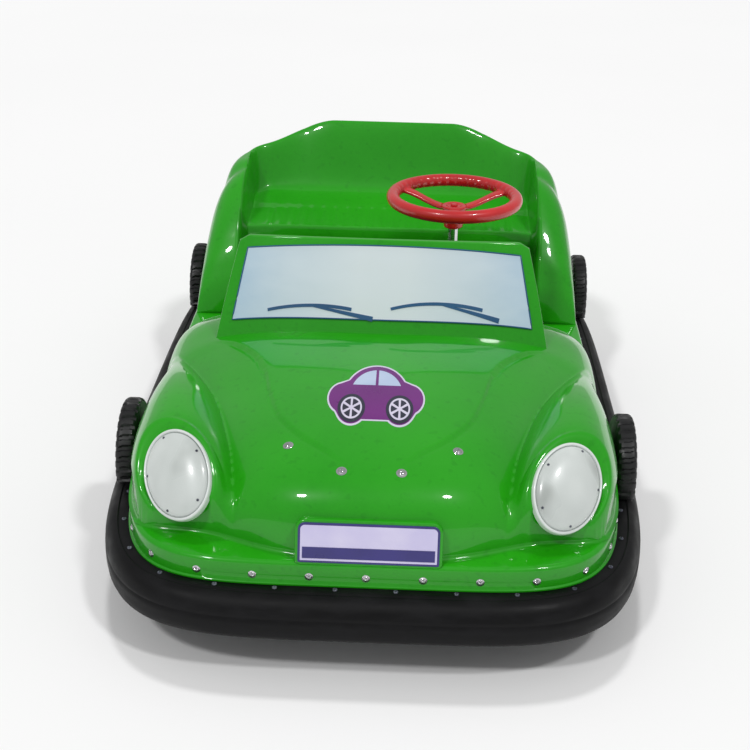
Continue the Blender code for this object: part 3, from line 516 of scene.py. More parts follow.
def tube_along(name, path, radius, sides=12, closed=False):
    """A round bead along a path, with domed ends."""
    path = np.asarray(path, float)
    count = len(path)
    ahead = np.roll(path, -1, 0) if closed else np.vstack([path[1:], path[-1:]])
    behind = np.roll(path, 1, 0) if closed else np.vstack([path[:1], path[:-1]])
    tangent = ahead - behind
    tangent /= np.linalg.norm(tangent, axis=1)[:, None]
    up = np.where(np.abs(tangent[:, 2:3]) > 0.9, np.array([[0, 1.0, 0]]), np.array([[0, 0, 1.0]]))
    side = np.cross(tangent, up)
    side /= np.linalg.norm(side, axis=1)[:, None]
    over = np.cross(side, tangent)
    turns = np.arange(sides) * 2 * math.pi / sides
    points = []
    for i in range(count):
        for t in turns:
            points.append(path[i] + radius * (side[i] * math.cos(t) + over[i] * math.sin(t)))
    if closed:
        return mesh_of(name, points, ring_faces(count, sides))
    faces = grid_faces(count, sides, wrap=True)
    for first, end, way in ((0, path[0], -1), (count - 1, path[-1], 1)):
        tip = len(points)
        points.append(end + way * tangent[first] * radius * 0.6)
        faces += [(first * sides + k, first * sides + (k + 1) % sides, tip) for k in range(sides)]
    return mesh_of(name, points, faces)


def pan_head(radius=0.0058, height=0.0032, washer=0.0):
    """A pan-head screw with a cross recess, standing on z = 0 and pointing up."""
    steps = 24
    profile = [(radius, -0.001), (radius, height * 0.35)]
    profile += [(radius * math.cos(t), height * (0.35 + 0.65 * math.sin(t))) for t in np.radians((30, 55, 75))]
    profile += [(radius * 0.12, height), (0.0, height)]
    points = []
    for reach, level in profile:
        for k in range(steps):
            angle = 2 * math.pi * k / steps
            x, y = reach * math.cos(angle), reach * math.sin(angle)
            slotted = min(abs(x), abs(y)) < radius * 0.14 and reach < radius * 0.62
            points.append((x, y, level - (height * 0.45 if slotted else 0.0)))
    mesh = mesh_of("pan_head", points, grid_faces(len(profile), steps, wrap=True) + [tuple(range(steps))])
    if not washer:
        return mesh
    ring = [(radius * 0.9, -0.001), (washer, -0.001), (washer, 0.0006)]
    ring += [(washer - 0.0006, 0.0011), (radius * 0.9, 0.0011)]
    return merged("pan_head", [mesh, turned("washer", ring, steps)])


def stand_on(mesh, place, direction):
    """A copy of a mesh that stands at a place with its own +Z along a direction."""
    copy = mesh.copy()
    turn = Vector(direction).to_track_quat("Z", "Y").to_matrix().to_4x4()
    copy.transform(Matrix.Translation(Vector(place)) @ turn)
    return copy


def bevel(piece, width, segments=3, angle=40):
    edge = piece.modifiers.new("rounding", "BEVEL")
    edge.width = width
    edge.segments = segments
    edge.limit_method = "ANGLE"
    edge.angle_limit = math.radians(angle)


# ======================= the body's surfaces =======================


def plan_radius(x, y, half, power=SKIRT_POWER):
    """0 at the middle of the car and 1 on the outline."""
    return (np.abs(x / half[0]) ** power + np.abs(y / half[1]) ** power) ** (1 / power)


def body_width(y):
    share = np.clip(np.abs(y) / BODY_HALF[1], 0, 1)
    return BODY_HALF[0] * (1 - share**FRONT_POWER) ** (1 / FRONT_POWER)


def curve(value, table):
    """A smooth curve through the table's (place, height) points."""
    xs = np.array([p for p, _ in table])
    ys = np.array([h for _, h in table])
    slopes = np.gradient(ys, xs)
    value = np.clip(value, xs[0], xs[-1])
    i = np.clip(np.searchsorted(xs, value) - 1, 0, len(xs) - 2)
    span = xs[i + 1] - xs[i]
    t = (value - xs[i]) / span
    return (
        (2 * t**3 - 3 * t**2 + 1) * ys[i]
        + (t**3 - 2 * t**2 + t) * span * slopes[i]
        + (3 * t**2 - 2 * t**3) * ys[i + 1]
        + (t**3 - t**2) * span * slopes[i + 1]
    )


def smooth_step(value):
    t = np.clip(value, 0, 1)
    return t * t * (3 - 2 * t)


def smooth_max(a, b, soft):
    return (a + b + np.sqrt((a - b) ** 2 + soft**2)) / 2


# Along the bonnet: (share of the way from the nose to the car's middle, share of COWL_RISE).
BONNET = [(-1.0, 0.80), (-0.88, 0.83), (-0.75, 0.90), (-0.58, 0.965), (-0.42, 1.0), (-0.28, 0.985),
          (-0.2, 0.95), (-0.04, 0.88), (0.09, 0.62), (0.18, 0.32), (0.23, 0.10)]
# Half width of the bonnet's hump and of the fender, and the fender's line, as shares of the body's size.
BONNET_WIDTH = [(-1.0, 0.52), (-0.88, 0.585), (-0.73, 0.685), (-0.5, 0.80), (-0.35, 0.90),
                (-0.2, 1.01), (0.23, 1.03)]
FENDER_LINE = [(-1.0, 0.75), (-0.73, 0.785), (-0.5, 0.83), (-0.3, 0.89), (-0.1, 0.965)]
FENDER_WIDTH = [(-1.0, 0.29), (-0.73, 0.255), (-0.5, 0.185), (-0.35, 0.120), (-0.2, 0.06),
                (-0.1, 0.02)]
FENDER_HEIGHT = [(-1.0, 0.62), (-0.9, 0.84), (-0.8, 0.98), (-0.68, 1.0), (-0.5, 0.92), (-0.3, 0.68),
                 (-0.1, 0.36), (0.0, 0.0)]
# The step round the raised bonnet: (distance along, half width).
STEP_LINE = [(-0.7660, 0.0), (-0.7655, 0.014), (-0.764, 0.028), (-0.759, 0.044), (-0.750, 0.060),
             (-0.722, 0.092), (-0.684, 0.135), (-0.624, 0.180), (-0.504, 0.220), (-0.400, 0.243),
             (-0.320, 0.276), (-0.262, 0.315), (-0.226, 0.346), (-0.190, 0.400)]


def lamp_matrix(side):
    """Places a lamp, whose own axis is +Z, on its fender."""
    x, y, z = LAMP_CENTRE
    turn = Euler((math.pi / 2 - LAMP_TILT, 0, side * LAMP_TURN), "XYZ").to_matrix().to_4x4()
    return Matrix.Translation((side * x, y, z)) @ turn @ Matrix.Rotation(-side * LAMP_ROLL, 4, "Z")


def lamp_seat(x, y):
    """Height of the lamp's plane over the ledge, and how much the fender follows it."""
    frame_at = np.array(lamp_matrix(1))
    right, up, normal = frame_at[:3, 0], frame_at[:3, 1], frame_at[:3, 2]
    across = np.abs(x) - LAMP_CENTRE[0]
    along = y - LAMP_CENTRE[1]
    rise = -(normal[0] * across + normal[1] * along) / normal[2]
    a = (right[0] * across + right[1] * along + right[2] * rise) / LAMP_HALF[0]
    b = (up[0] * across + up[1] * along + up[2] * rise) / LAMP_HALF[1]
    reach = np.sqrt(a**2 + b**2)
    return LAMP_CENTRE[2] + rise - LEDGE_TOP, 1 - smooth_step((reach - 1.0) / LAMP_SEAT)


def foot_pull(x, y):
    """The fenders' feet stand further in than the nose's."""
    share = np.abs(x) / BODY_HALF[0]
    return 1 + FOOT_PULL * np.exp(-(((share - 0.68) / 0.275) ** 2)) * (y < 0)


def plain_cowl(x, y):
    """Height of the cowl's outer face over the ledge, without its step."""
    along = y / BODY_HALF[1]
    across = np.abs(x) / BODY_HALF[0]
    hump = np.clip(across / curve(along, BONNET_WIDTH), 0, 1)
    nose = COWL_RISE * curve(along, BONNET) * (1 - hump**3.0) ** (1 / 2.6)
    offset = np.clip(np.abs(across - curve(along, FENDER_LINE)) / curve(along, FENDER_WIDTH), 0, 1)
    fender = FENDER_RISE * curve(along, FENDER_HEIGHT) * (1 - offset**2.2) ** (1 / 2.2)
    edge = np.clip(plan_radius(x, np.minimum(y, 0) * foot_pull(x, y), BODY_HALF, FRONT_POWER), 0, 1)
    sharpness = NOSE_EDGE + (SIDE_EDGE - NOSE_EDGE) * np.clip(across, 0, 1) ** 2
    fall = (1 - edge**sharpness) ** (1 / 2.5)
    seat, follow = lamp_seat(x, y)
    height = smooth_max(nose, fender, 0.004) * fall
    return height * (1 - follow) + np.maximum(seat, 0) * follow


def step_distance(x, y):
    """Distance inside the bonnet's step, negative outside."""
    lengths = np.linspace(STEP_LINE[0][0], STEP_LINE[-1][0], 220)
    widths = curve(lengths, STEP_LINE)
    across = np.abs(x)[..., None] - widths
    along = y[..., None] - lengths
    near = np.sqrt(across**2 + along**2).min(axis=-1)
    inside = (np.abs(x) < curve(y, STEP_LINE)) & (y > STEP_LINE[0][0])
    return np.where(inside, near, -near)


def cowl_height(x, y):
    """Height of the cowl's outer face over the ledge, with the step round the raised bonnet."""
    inside = step_distance(x, y)
    step = STEP_RISE * smooth_step(inside / STEP_WIDTH + 0.5) - STEP_RISE
    groove = -GROOVE_DEPTH * np.exp(-(((inside + 0.004) / 0.0022) ** 2))
    fade = smooth_step((-0.195 - y) / 0.06) * smooth_step((np.abs(x) - 0.04) / 0.07)
    return plain_cowl(x, y) + (step + STEP_RISE * 0.5 + groove) * fade


def cowl_rear(x):
    """Where the cowl ends: forward in the middle, and back along the sills at its two horns."""
    share = np.clip(np.abs(x) / BODY_HALF[0], 0, 1)
    return COWL_REAR + (COWL_HORN - COWL_REAR) * share**7


def eased(count, power=0.65):
    """Shares from -1 to 1, closer together at both ends."""
    line = np.linspace(-1, 1, count)
    return power * np.sin(line * math.pi / 2) + (1 - power) * line


def cowl_plan(columns, rows):
    """Places of the cowl's grid, from the nose's foot to the rear edge."""
    u, v = np.meshgrid(eased(columns), eased(2 * rows - 1)[:rows], indexing="xy")
    size = (np.abs(u) ** FRONT_POWER + np.abs(v) ** FRONT_POWER + 1e-30) ** (1 / FRONT_POWER)
    reach = np.maximum(np.abs(u), np.abs(v)) / size
    x = BODY_HALF[0] * u * reach
    y = BODY_HALF[1] * v * reach
    y = y / foot_pull(x, y)
    y = y + (1 + v) * cowl_rear(x)
    edge = np.where(y[:, -1:] < 0, body_width(y[:, -1:]), BODY_HALF[0])
    x = x * (1 + (edge / np.maximum(x[:, -1:], 1e-9) - 1) * np.abs(u) ** 4 * (v > -1))
    skirt = (SKIRT_HALF[0] - CORNER_LEDGE[0], SKIRT_HALF[1] - CORNER_LEDGE[1])
    over = np.maximum(plan_radius(x, np.minimum(y, 0), skirt), 1)
    return x / over, y / over


def make_cowl():
    x, y = cowl_plan(261, 171)
    z = LEDGE_TOP + cowl_height(x, y)
    for edge in (np.s_[:, 0], np.s_[:, -1], np.s_[0, :]):
        z[edge] = LEDGE_TOP
    outer = np.stack([x, y, z], axis=-1)
    foot = np.array([0, 0, LEDGE_TOP])
    shrink = 1 - SHELL / np.array([BODY_HALF[0], BODY_HALF[1], COWL_RISE])
    inner = foot + (outer - foot) * shrink
    shell = shell_of("cowl_shell", outer, inner)
    add("cowl_shell", shell, "green_gelcoat", stands_for=["front_cowl"], smooth=60)
    rear = outer[-1] + np.array([0, 0.0005, -0.003])
    add("cowl_rear_roll", tube_along("cowl_rear_roll", rear[3:-3], 0.0045), "green_gelcoat")
    make_cowl_fillet(outer)
    make_nose_screws()


def make_cowl_fillet(outer):
    """The small hollow where the cowl's foot meets the ledge."""
    rim = np.concatenate([outer[::-1, 0], outer[0, 1:-1], outer[:, -1]])[:, :2]
    tangent = np.gradient(rim, axis=0)
    normal = np.stack([tangent[:, 1], -tangent[:, 0]], axis=-1)
    normal /= np.maximum(np.linalg.norm(normal, axis=1), 1e-9)[:, None]
    section = [(FILLET + dx, FILLET + dz) for dx, dz in arc((0, 0), FILLET, 180, 270, 7)]
    section = [(-0.002, FILLET), *section, (-0.002, 0)]
    points = []
    for place, out in zip(rim, normal):
        share = float(plan_radius(place[0], min(place[1], 0.0), SKIRT_HALF))
        room = (1 / share - 1) * np.linalg.norm(place)
        on_ledge = place[1] < 0 or abs(place[0]) > 0.45
        scale = np.clip((room - 0.0012) / FILLET, 0.12, 1) if on_ledge else 1
        points += [(*(place + out * dx * scale), LEDGE_TOP + dz) for dx, dz in section]
    count = len(section)
    faces = grid_faces(len(rim), count, wrap=True)
    faces += [tuple(range(count)), tuple(range(len(points) - count, len(points)))[::-1]]
    add("cowl_foot_fillet", mesh_of("cowl_foot_fillet", points, faces), "green_gelcoat", smooth=60)


def surface(x, y):
    """A point of the cowl and the direction it faces."""

    def height(a, b):
        return float(cowl_height(np.array([a]), np.array([b]))[0])

    step = 0.003
    slope_x = (height(x + step, y) - height(x - step, y)) / (2 * step)
    slope_y = (height(x, y + step) - height(x, y - step)) / (2 * step)
    return Vector((x, y, LEDGE_TOP + height(x, y))), Vector((-slope_x, -slope_y, 1)).normalized()


def make_nose_screws():
    head = pan_head(0.0068, 0.0036, washer=0.0105)
    places = [(-0.165, -0.700), (-0.057, -0.775), (0.057, -0.775), (0.165, -0.700)]
    screws = [stand_on(head, *surface(*place)) for place in places]
    add("nose_screws", merged("nose_screws", screws), "chrome")


# ======================= rings round the car =======================


def outline(half, power, direction):
    c, s = direction
    reach = (abs(c) ** power + abs(s) ** power) ** (1 / power)
    return np.array([half[0] * c / reach, half[1] * s / reach])


def directions(steps):
    turns = [2 * math.pi * (k + 0.5) / steps for k in range(steps)]
    return [(math.cos(t + 0.16 * math.sin(4 * t)), math.sin(t + 0.16 * math.sin(4 * t))) for t in turns]


def inset(half, by):
    return half[0] - by, half[1] - by


def swept(name, section, steps=ROUND_STEPS):
    """Sweeps a closed section of (half sizes, power, height) round the car."""
    ways = directions(steps)
    points = [(*outline(half, power, way), height) for half, power, height in section for way in ways]
    return mesh_of(name, points, ring_faces(len(section), steps))


def spaced(half, power, spacing, first):
    """Evenly spaced places round an outline, each with the direction out of the car.

    The first stands off the nose's middle by its share of the spacing.
    """
    ways = directions(720)
    line = np.array([outline(half, power, way) for way in ways] + [outline(half, power, ways[0])])
    run = np.concatenate([[0], np.cumsum(np.linalg.norm(np.diff(line, axis=0), axis=1))])
    count = int(round(run[-1] / spacing))
    start = np.argmin(np.abs(line[:, 0]) + 10 * (line[:, 1] > 0))
    found = []
    for k in range(count):
        at = (run[start] + (k + first) * run[-1] / count) % run[-1]
        i = min(np.searchsorted(run, at, side="right") - 1, len(ways) - 1)
        along = (line[i + 1] - line[i]) / np.linalg.norm(line[i + 1] - line[i])
        found.append((line[i] + along * (at - run[i]), Vector((along[1], -along[0], 0))))
    return found


def make_flange():
    top = LEDGE_TOP
    round_edge = [(0.009 - dx, top - 0.009 + dz) for dx, dz in arc((0, 0), 0.009, 90, 0, 7)]
    section = [(LEDGE_WIDTH, top - SHELL), (LEDGE_WIDTH, top)] + round_edge
    section.append((0.0, top - 0.030))
    bead = ((-0.0005, 0.006), (-0.0035, 0.0035), (-0.0035, 0.0006), (0.0, 0.0006))
    section += [(by, RUBBER_TOP + over) for by, over in bead]
    section += [(0.0, SKIRT_LOW), (SHELL, SKIRT_LOW), (SHELL, top - 0.012), (0.012, top - SHELL)]
    rings = [(inset(SKIRT_HALF, by), SKIRT_POWER, z) for by, z in section]
    flange = swept("skirt_flange", rings)
    add("skirt_flange", flange, "green_gelcoat", stands_for=["body_skirt"], smooth=50)
    head = pan_head(0.0056, 0.0032, washer=0.0080)
    places = spaced(SKIRT_HALF, SKIRT_POWER, 0.108, 0.0)
    screws = [stand_on(head, (*place, 0.200), out) for place, out in places]
    add("flange_screws", merged("flange_screws", screws), "chrome")


def make_bumper():
    """Rubber ring: a flat inner lip, a rounded face with two shallow grooves, and a flat underside."""
    drops = ((0.0, 0.002), (0.03, 0), (0.40, 0), (0.43, 0.0018), (0.47, 0.0018), (0.50, 0.0006),
             (0.66, 0.004), (0.80, 0.011), (0.90, 0.020), (0.965, 0.031), (0.985, 0.036), (0.965, 0.038),
             (0.965, 0.041), (0.995, 0.043), (1.0, 0.052), (0.995, 0.064), (0.965, 0.076))
    face = [(share, RUBBER_TOP - drop) for share, drop in drops]
    rises = ((0.90, 0.006), (0.80, 0.001), (0.72, 0), (0.0, 0))
    face += [(share, RUBBER_LOW + rise) for share, rise in rises]
    ways = directions(360)
    nearest = inset(SKIRT_HALF, -0.0005)
    points = []
    for share, height in face:
        for way in ways:
            near = outline(nearest, SKIRT_POWER, way)
            far = outline(RUBBER_HALF, RUBBER_POWER, way)
            points.append((*(near + (far - near) * share), height))
    ring = mesh_of("bumper_ring", points, ring_faces(len(face), len(ways)))
    add("bumper_ring", ring, "black_rubber", stands_for=["rubber_ring"], smooth=50)
    head = pan_head(0.0050, 0.0030)
    places = spaced(inset(SKIRT_HALF, -0.012), SKIRT_POWER, 0.114, 0.5)
    screws = [stand_on(head, (*place, RUBBER_TOP), (0, 0, 1)) for place, _ in places]
    add("bumper_screws", merged("bumper_screws", screws), "dark_screw")


# ======================= windscreen =======================


def screen_point(share, height, rear, out=0.0):
    """A point of the windscreen hump: share from -1 to 1 across, height from 0 to 1 up."""
    half = SCREEN_FOOT + (SCREEN_HEAD - SCREEN_FOOT) * height
    x = half * share
    round_off = SCREEN_ROUND * max(0.0, abs(share) - 0.93) / 0.07 * height
    top = LEDGE_TOP + (SCREEN_TOP - LEDGE_TOP) * (1 - SCREEN_CROWN * share**2) - round_off
    front = SCREEN_FRONT - SCREEN_BOW * (1 - share**2)
    low = SCREEN_BACK if rear else front
    high = front + SCREEN_LEAN + (SCREEN_THICK if rear else 0)
    y = low + (high - low) * height
    under = float(plain_cowl(np.array(x), np.array(min(y, float(cowl_rear(x))))))
    foot = LEDGE_TOP + under - SCREEN_SINK
    return np.array((x, y - out, foot + (top - foot) * height))


def make_windscreen():
    shares = eased(89)
    heights = np.concatenate([np.linspace(0, 0.9, 16), np.linspace(0.92, 1.0, 7)])
    front = np.array([[screen_point(s, h, False) for s in shares] for h in heights])
    rear = np.array([[screen_point(s, h, True) for s in shares] for h in heights])
    shell = shell_of("windscreen_hump", front, rear)
    hump = add("windscreen_hump", shell, "green_gelcoat", stands_for=["windscreen_frame"], smooth=60)
    bevel(hump, 0.006, 4, 50)
    make_screen_print_pieces()


def on_screen(across, height, out):
    """A point of the printed panel, with across in metres and height as a share."""
    half = SCREEN_FOOT + (SCREEN_HEAD - SCREEN_FOOT) * height
    return screen_point(across / half, height, False, out)


def make_screen_print_pieces():
    side = 1 - PANEL_MARGIN / SCREEN_HEAD
    flat = np.linspace(-side, side, PRINT_COLUMNS)
    low, high = PANEL_HEIGHTS
    rises = [high - PANEL_CROWN * (s / side) ** 2 - low for s in flat]

    def sheet(out):
        rows = []
        for t in np.linspace(0, 1, PRINT_ROWS):
            rows.append([screen_point(s, low + rise * t, False, out) for s, rise in zip(flat, rises)])
        return np.array(rows)

    back, face = sheet(0.0002), sheet(0.0030)
    shell = shell_of("windscreen_print", face, back)
    panel = add("windscreen_print", shell, "screen_print", stands_for=["windscreen_panel"])
    bevel(panel, 0.0008, 2)
    border = face.reshape(-1, 3)[rim_of(PRINT_ROWS, PRINT_COLUMNS)]
    add("print_outline", tube_along("print_outline", border, 0.0016, 8, closed=True), "wiper_blue")
    blades = (((-0.258, 0.300), (-0.160, 0.348), (-0.068, 0.318)),
              ((0.020, 0.336), (0.118, 0.400), (0.226, 0.356)))
    arms = (((-0.160, 0.346), (-0.020, 0.228)), ((0.136, 0.392), (0.264, 0.262)))
    wipers = []
    for blade, arm in zip(blades, arms):
        wipers.append(wiper_strip(blade, 0.0030, 0.0036))
        wipers.append(wiper_strip(arm, 0.0018, 0.0052))
    add("printed_wipers", merged("printed_wipers", wipers), "wiper_blue")


def wiper_strip(points, thin, thick):
    """A printed stroke through two or three (across, height) points, wider at its last end."""
    t = np.linspace(0, 1, 24)[:, None]
    marks = [np.array(p) for p in points]
    if len(marks) == 2:
        line = marks[0] * (1 - t) + marks[1] * t
    else:
        middle = 2 * marks[1] - (marks[0] + marks[2]) / 2
        line = marks[0] * (1 - t) ** 2 + middle * 2 * t * (1 - t) + marks[2] * t**2
    flat = line * np.array([1, WIPER_SCALE])
    tangent = np.gradient(flat, axis=0)
    tangent /= np.linalg.norm(tangent, axis=1)[:, None]
    normal = np.stack([-tangent[:, 1], tangent[:, 0]], axis=-1)
    half = thin + (thick - thin) * t

    def layer(out):
        lines = [flat + normal * way * half for way in (-1, 0, 1)]
        return np.array([[on_screen(a, h / WIPER_SCALE, out) for a, h in moved] for moved in lines])

    return shell_of("wiper", layer(0.0042), layer(0.0026))


# ======================= lamps and plate =======================


def oval(profile, side, steps=96):
    """A solid turned about a lamp's axis and stretched to its oval."""
    matrix = lamp_matrix(side) @ Matrix.Diagonal((*LAMP_HALF, 1.0, 1.0))
    return turned("oval", profile, steps, matrix)


def make_lamps():
    rim = [(0.905, -0.004), (1.0, -0.006), (1.0, 0.003)]
    bead = np.radians(np.linspace(15, 165, 9))
    rim += [(0.962 + 0.038 * math.cos(t), 0.003 + 0.0052 * math.sin(t)) for t in bead]
    rim += [(0.920, 0.003), (0.905, 0.001)]
    dome = [(LENS_EDGE, -0.010), (LENS_EDGE, LENS_FOOT)]
    for t in np.radians(np.linspace(4, 90, 20)):
        dome.append((LENS_EDGE * math.cos(t), LENS_FOOT + LENS_DOME * math.sin(t)))
    dome[-1] = (0.0, dome[-1][1])
    head = pan_head(0.0026, 0.0016)
    reach = 0.84
    lift = LENS_FOOT + LENS_DOME * math.sqrt(1 - (reach / LENS_EDGE) ** 2)
    for side, name in SIDES:
        add("lamp_rim_" + name, oval(rim, side), "lamp_rim", stands_for=["headlight_rim_" + name])
        lens = oval(dome, side)
        add("lamp_lens_" + name, lens, "lamp_lens", stands_for=["headlight_lens_" + name], smooth=60)
        matrix = lamp_matrix(side)
        screws = []
        for angle in np.radians((18, 92, 165, 232, 300)):
            c, s = math.cos(angle), math.sin(angle)
            place = matrix @ Vector((LAMP_HALF[0] * reach * c, LAMP_HALF[1] * reach * s, lift))
            lean = matrix.to_3x3() @ Vector((0.45 * c, 0.45 * s, 1.0))
            screws.append(stand_on(head, place, lean))
        add("lamp_screws_" + name, merged("lamp_screws", screws), "dark_screw")


def rounded_plate(width, height, corner_top, corner_low, grow=0.0):
    """The outline of a plate with its foot at z = 0, as (x, z) points, drawn in by -grow."""
    w = width / 2 + grow
    corners = ((w, height + grow, corner_top, 0), (-w, height + grow, corner_top, 90),
               (-w, -grow, corner_low, 180), (w, -grow, corner_low, 270))
    points = []
    for x, z, radius, start in corners:
        radius = max(radius + grow, 0.0008)
        centre = (x - math.copysign(radius, x), z - radius if start < 180 else z + radius)
        points += arc(centre, radius, start, start + 90, 8)
    return points


def flat_plate(name, outline_points, near, far):
    """A flat piece between two depths, bounded by (x, z) points, leaning as the number plate does."""
    low, high = ([(x, -depth, z) for x, z in outline_points] for depth in (near, far))
    mesh = prism(name, low, high)
    foot = Vector((0, *NUMBER_PLATE_FOOT))
    mesh.transform(Matrix.Translation(foot) @ Matrix.Rotation(-NUMBER_PLATE_TILT, 4, "X"))
    return mesh


def make_plate():
    width, height = NUMBER_PLATE
    around = rounded_plate(width, height, 0.016, 0.004, 0.006)
    plinth = flat_plate("plate_plinth", around, -0.060, -0.002)
    bevel(add("plate_plinth", plinth, "green_gelcoat", smooth=30), 0.003, 4)
    border = flat_plate("plate_border", rounded_plate(width, height, *PLATE_CORNERS), -0.004, 0.0)
    bevel(add("plate_border", border, "plate_navy", stands_for=["number_plate"]), 0.0006, 2)
    inside = rounded_plate(width, height, *PLATE_CORNERS, -0.0045)
    add("plate_field", flat_plate("plate_field", inside, -0.001, 0.0010), "plate_white")
    side = width / 2 - 0.0085
    band = [(-side, 0.009), (side, 0.009), (side, 0.031), (-side, 0.031)]
    add("plate_band", flat_plate("plate_band", band, 0.0, 0.0018), "plate_navy")


# ======================= the car icon on the bonnet =======================


def flat_shape(points, spacing=0.008):
    """Triangles filling an outline of (x, y) points, fine enough to follow the bonnet."""
    points = [Vector(p) for p in points]
    low = Vector((min(p.x for p in points), min(p.y for p in points)))
    high = Vector((max(p.x for p in points), max(p.y for p in points)))
    inner = []
    for x in np.arange(low.x + spacing / 2, high.x, spacing):
        for y in np.arange(low.y + spacing / 2, high.y, spacing):
            inner.append(Vector((x, y)))
    edges = [(k, (k + 1) % len(points)) for k in range(len(points))]
    found = delaunay_2d_cdt(points + inner, edges, [], 1, 1e-6)
    return found[0], found[2]


def on_bonnet(name, points, low, high):
    """A thin sticker between two heights over the bonnet. Points are (right, up) in icon units."""
    places, triangles = flat_shape(points, 0.06)
    count = len(places)
    x = np.array([ICON_CENTRE[0] + ICON_HALF * p.x for p in places])
    y = np.array([ICON_CENTRE[1] + ICON_HALF * ICON_SLANT * p.y for p in places])
    height = LEDGE_TOP + cowl_height(x, y)
    vertices = [(a, b, h + over) for over in (low, high) for a, b, h in zip(x, y, height)]
    faces = [tuple(t)[::-1] for t in triangles] + [tuple(i + count for i in t) for t in triangles]
    used = {}
    for face in triangles:
        for a, b in zip(face, face[1:] + face[:1]):
            used[(a, b)] = True
    faces += [(a, b, b + count, a + count) for a, b in used if (b, a) not in used]
    return mesh_of(name, vertices, faces)


def circle(centre, radius, steps=40):
    turns = np.arange(steps) * 2 * math.pi / steps
    return [(centre[0] + radius * math.cos(t), centre[1] + radius * math.sin(t)) for t in turns]


def icon_body(grow=0.0):
    """A round little car seen from its side: two bulging ends, a domed roof and two wheels."""
    points = arc((0.68, -0.12), 0.31 + grow, -62, 76, 12)
    points += arc((0.0, -0.058), 0.66 + grow, 29, 151, 22)
    points += arc((-0.68, -0.12), 0.31 + grow, 104, 242, 12)
    points += arc(ICON_WHEELS[0], ICON_ARCH + grow, 214, 315, 14)
    points += arc(ICON_WHEELS[1], ICON_ARCH + grow, 225, 326, 14)
    return points


def icon_rim(centre):
    """The light parts of a wheel: a hub, a band and six spokes."""
    x, y = centre
    shapes = [("disc", circle(centre, 0.046, 16))]
    for k in range(40):
        a, b = 2 * math.pi * k / 40, 2 * math.pi * (k + 1) / 40
        corners = ((ICON_RIM[0], a), (ICON_RIM[1], a), (ICON_RIM[1], b), (ICON_RIM[0], b))
        shapes.append(("band", [(x + r * math.cos(t), y + r * math.sin(t)) for r, t in corners]))
    for k in range(6):
        turn = math.pi / 6 + k * math.pi / 3
        c, s = math.cos(turn), math.sin(turn)
        corners = ((0.02, -0.018), (0.19, -0.024), (0.19, 0.024), (0.02, 0.018))
        shapes.append(("spoke", [(x + r * c - w * s, y + r * s + w * c) for r, w in corners]))
    return [on_bonnet(name, points, 0.0012, 0.0018) for name, points in shapes]


def make_icon():
    around = on_bonnet("icon_outline", icon_body(0.035), -0.001, 0.0006)
    add("icon_outline", around, "icon_white", smooth=30)
    add("icon_car", on_bonnet("icon_car", icon_body(), 0.0004, 0.0010), "icon_purple", smooth=30)
    dome = [(0.03, 0.166)] + arc((0.0, -0.04), 0.55, 22, 87, 10)
    panes = ([(way * x, y) for x, y in dome][::way] for way in (-1, 1))
    glass = [on_bonnet("glass", pane, 0.0008, 0.0013) for pane in panes]
    add("icon_windows", merged("icon_windows", glass), "icon_glass", smooth=30)
    tyres = [on_bonnet("tyre", circle(centre, ICON_TYRE), 0.0008, 0.0014) for centre in ICON_WHEELS]
    add("icon_tyres", merged("icon_tyres", tyres), "icon_dark", smooth=30)
    rims = [piece for centre in ICON_WHEELS for piece in icon_rim(centre)]
    add("icon_rims", merged("icon_rims", rims), "icon_white", smooth=30)


# ======================= seat tub =======================


def wing_height(y):
    """Side wing over the ledge: a hollow front edge that sweeps up from the sill."""
    table = [(0.0, 0.0), (0.03, 0.16), (0.10, 0.36), (0.22, 0.56), (0.38, 0.76), (0.52, 0.90),
             (0.63, 0.955), (0.75, 0.96), (0.88, 0.945), (1.0, 0.935), (1.3, 0.93)]
    return (WING_TOP - LEDGE_TOP) * curve((y - WING_FOOT) / (SEAT_BACK - WING_FOOT), table)


def soft_ramp(value, soft):
    """0 below 0 and 1 above 1, rounded at both ends."""

    def rise(v):
        return (v + np.sqrt(v * v + soft * soft)) / 2

    return np.clip(rise(value) - rise(value - 1), 0, 1)


def cavity_depth(x, y):
    """Distance outside the seat's hollow, and how far that side of it is the back.

    The hollow is a rounded rectangle that is open to the front.
    """
    across = np.abs(x) - (SEAT_HALF - CAVITY_ROUND)
    along = y - (SEAT_BACK - CAVITY_ROUND)
    out_x, out_y = np.maximum(across, 0), np.maximum(along, 0)
    reach = np.sqrt(out_x**2 + out_y**2)
    backward = np.where(reach > 1e-9, out_y / np.maximum(reach, 1e-9), (along > across) * 1.0)
    return reach + np.minimum(np.maximum(across, along), 0) - CAVITY_ROUND, backward


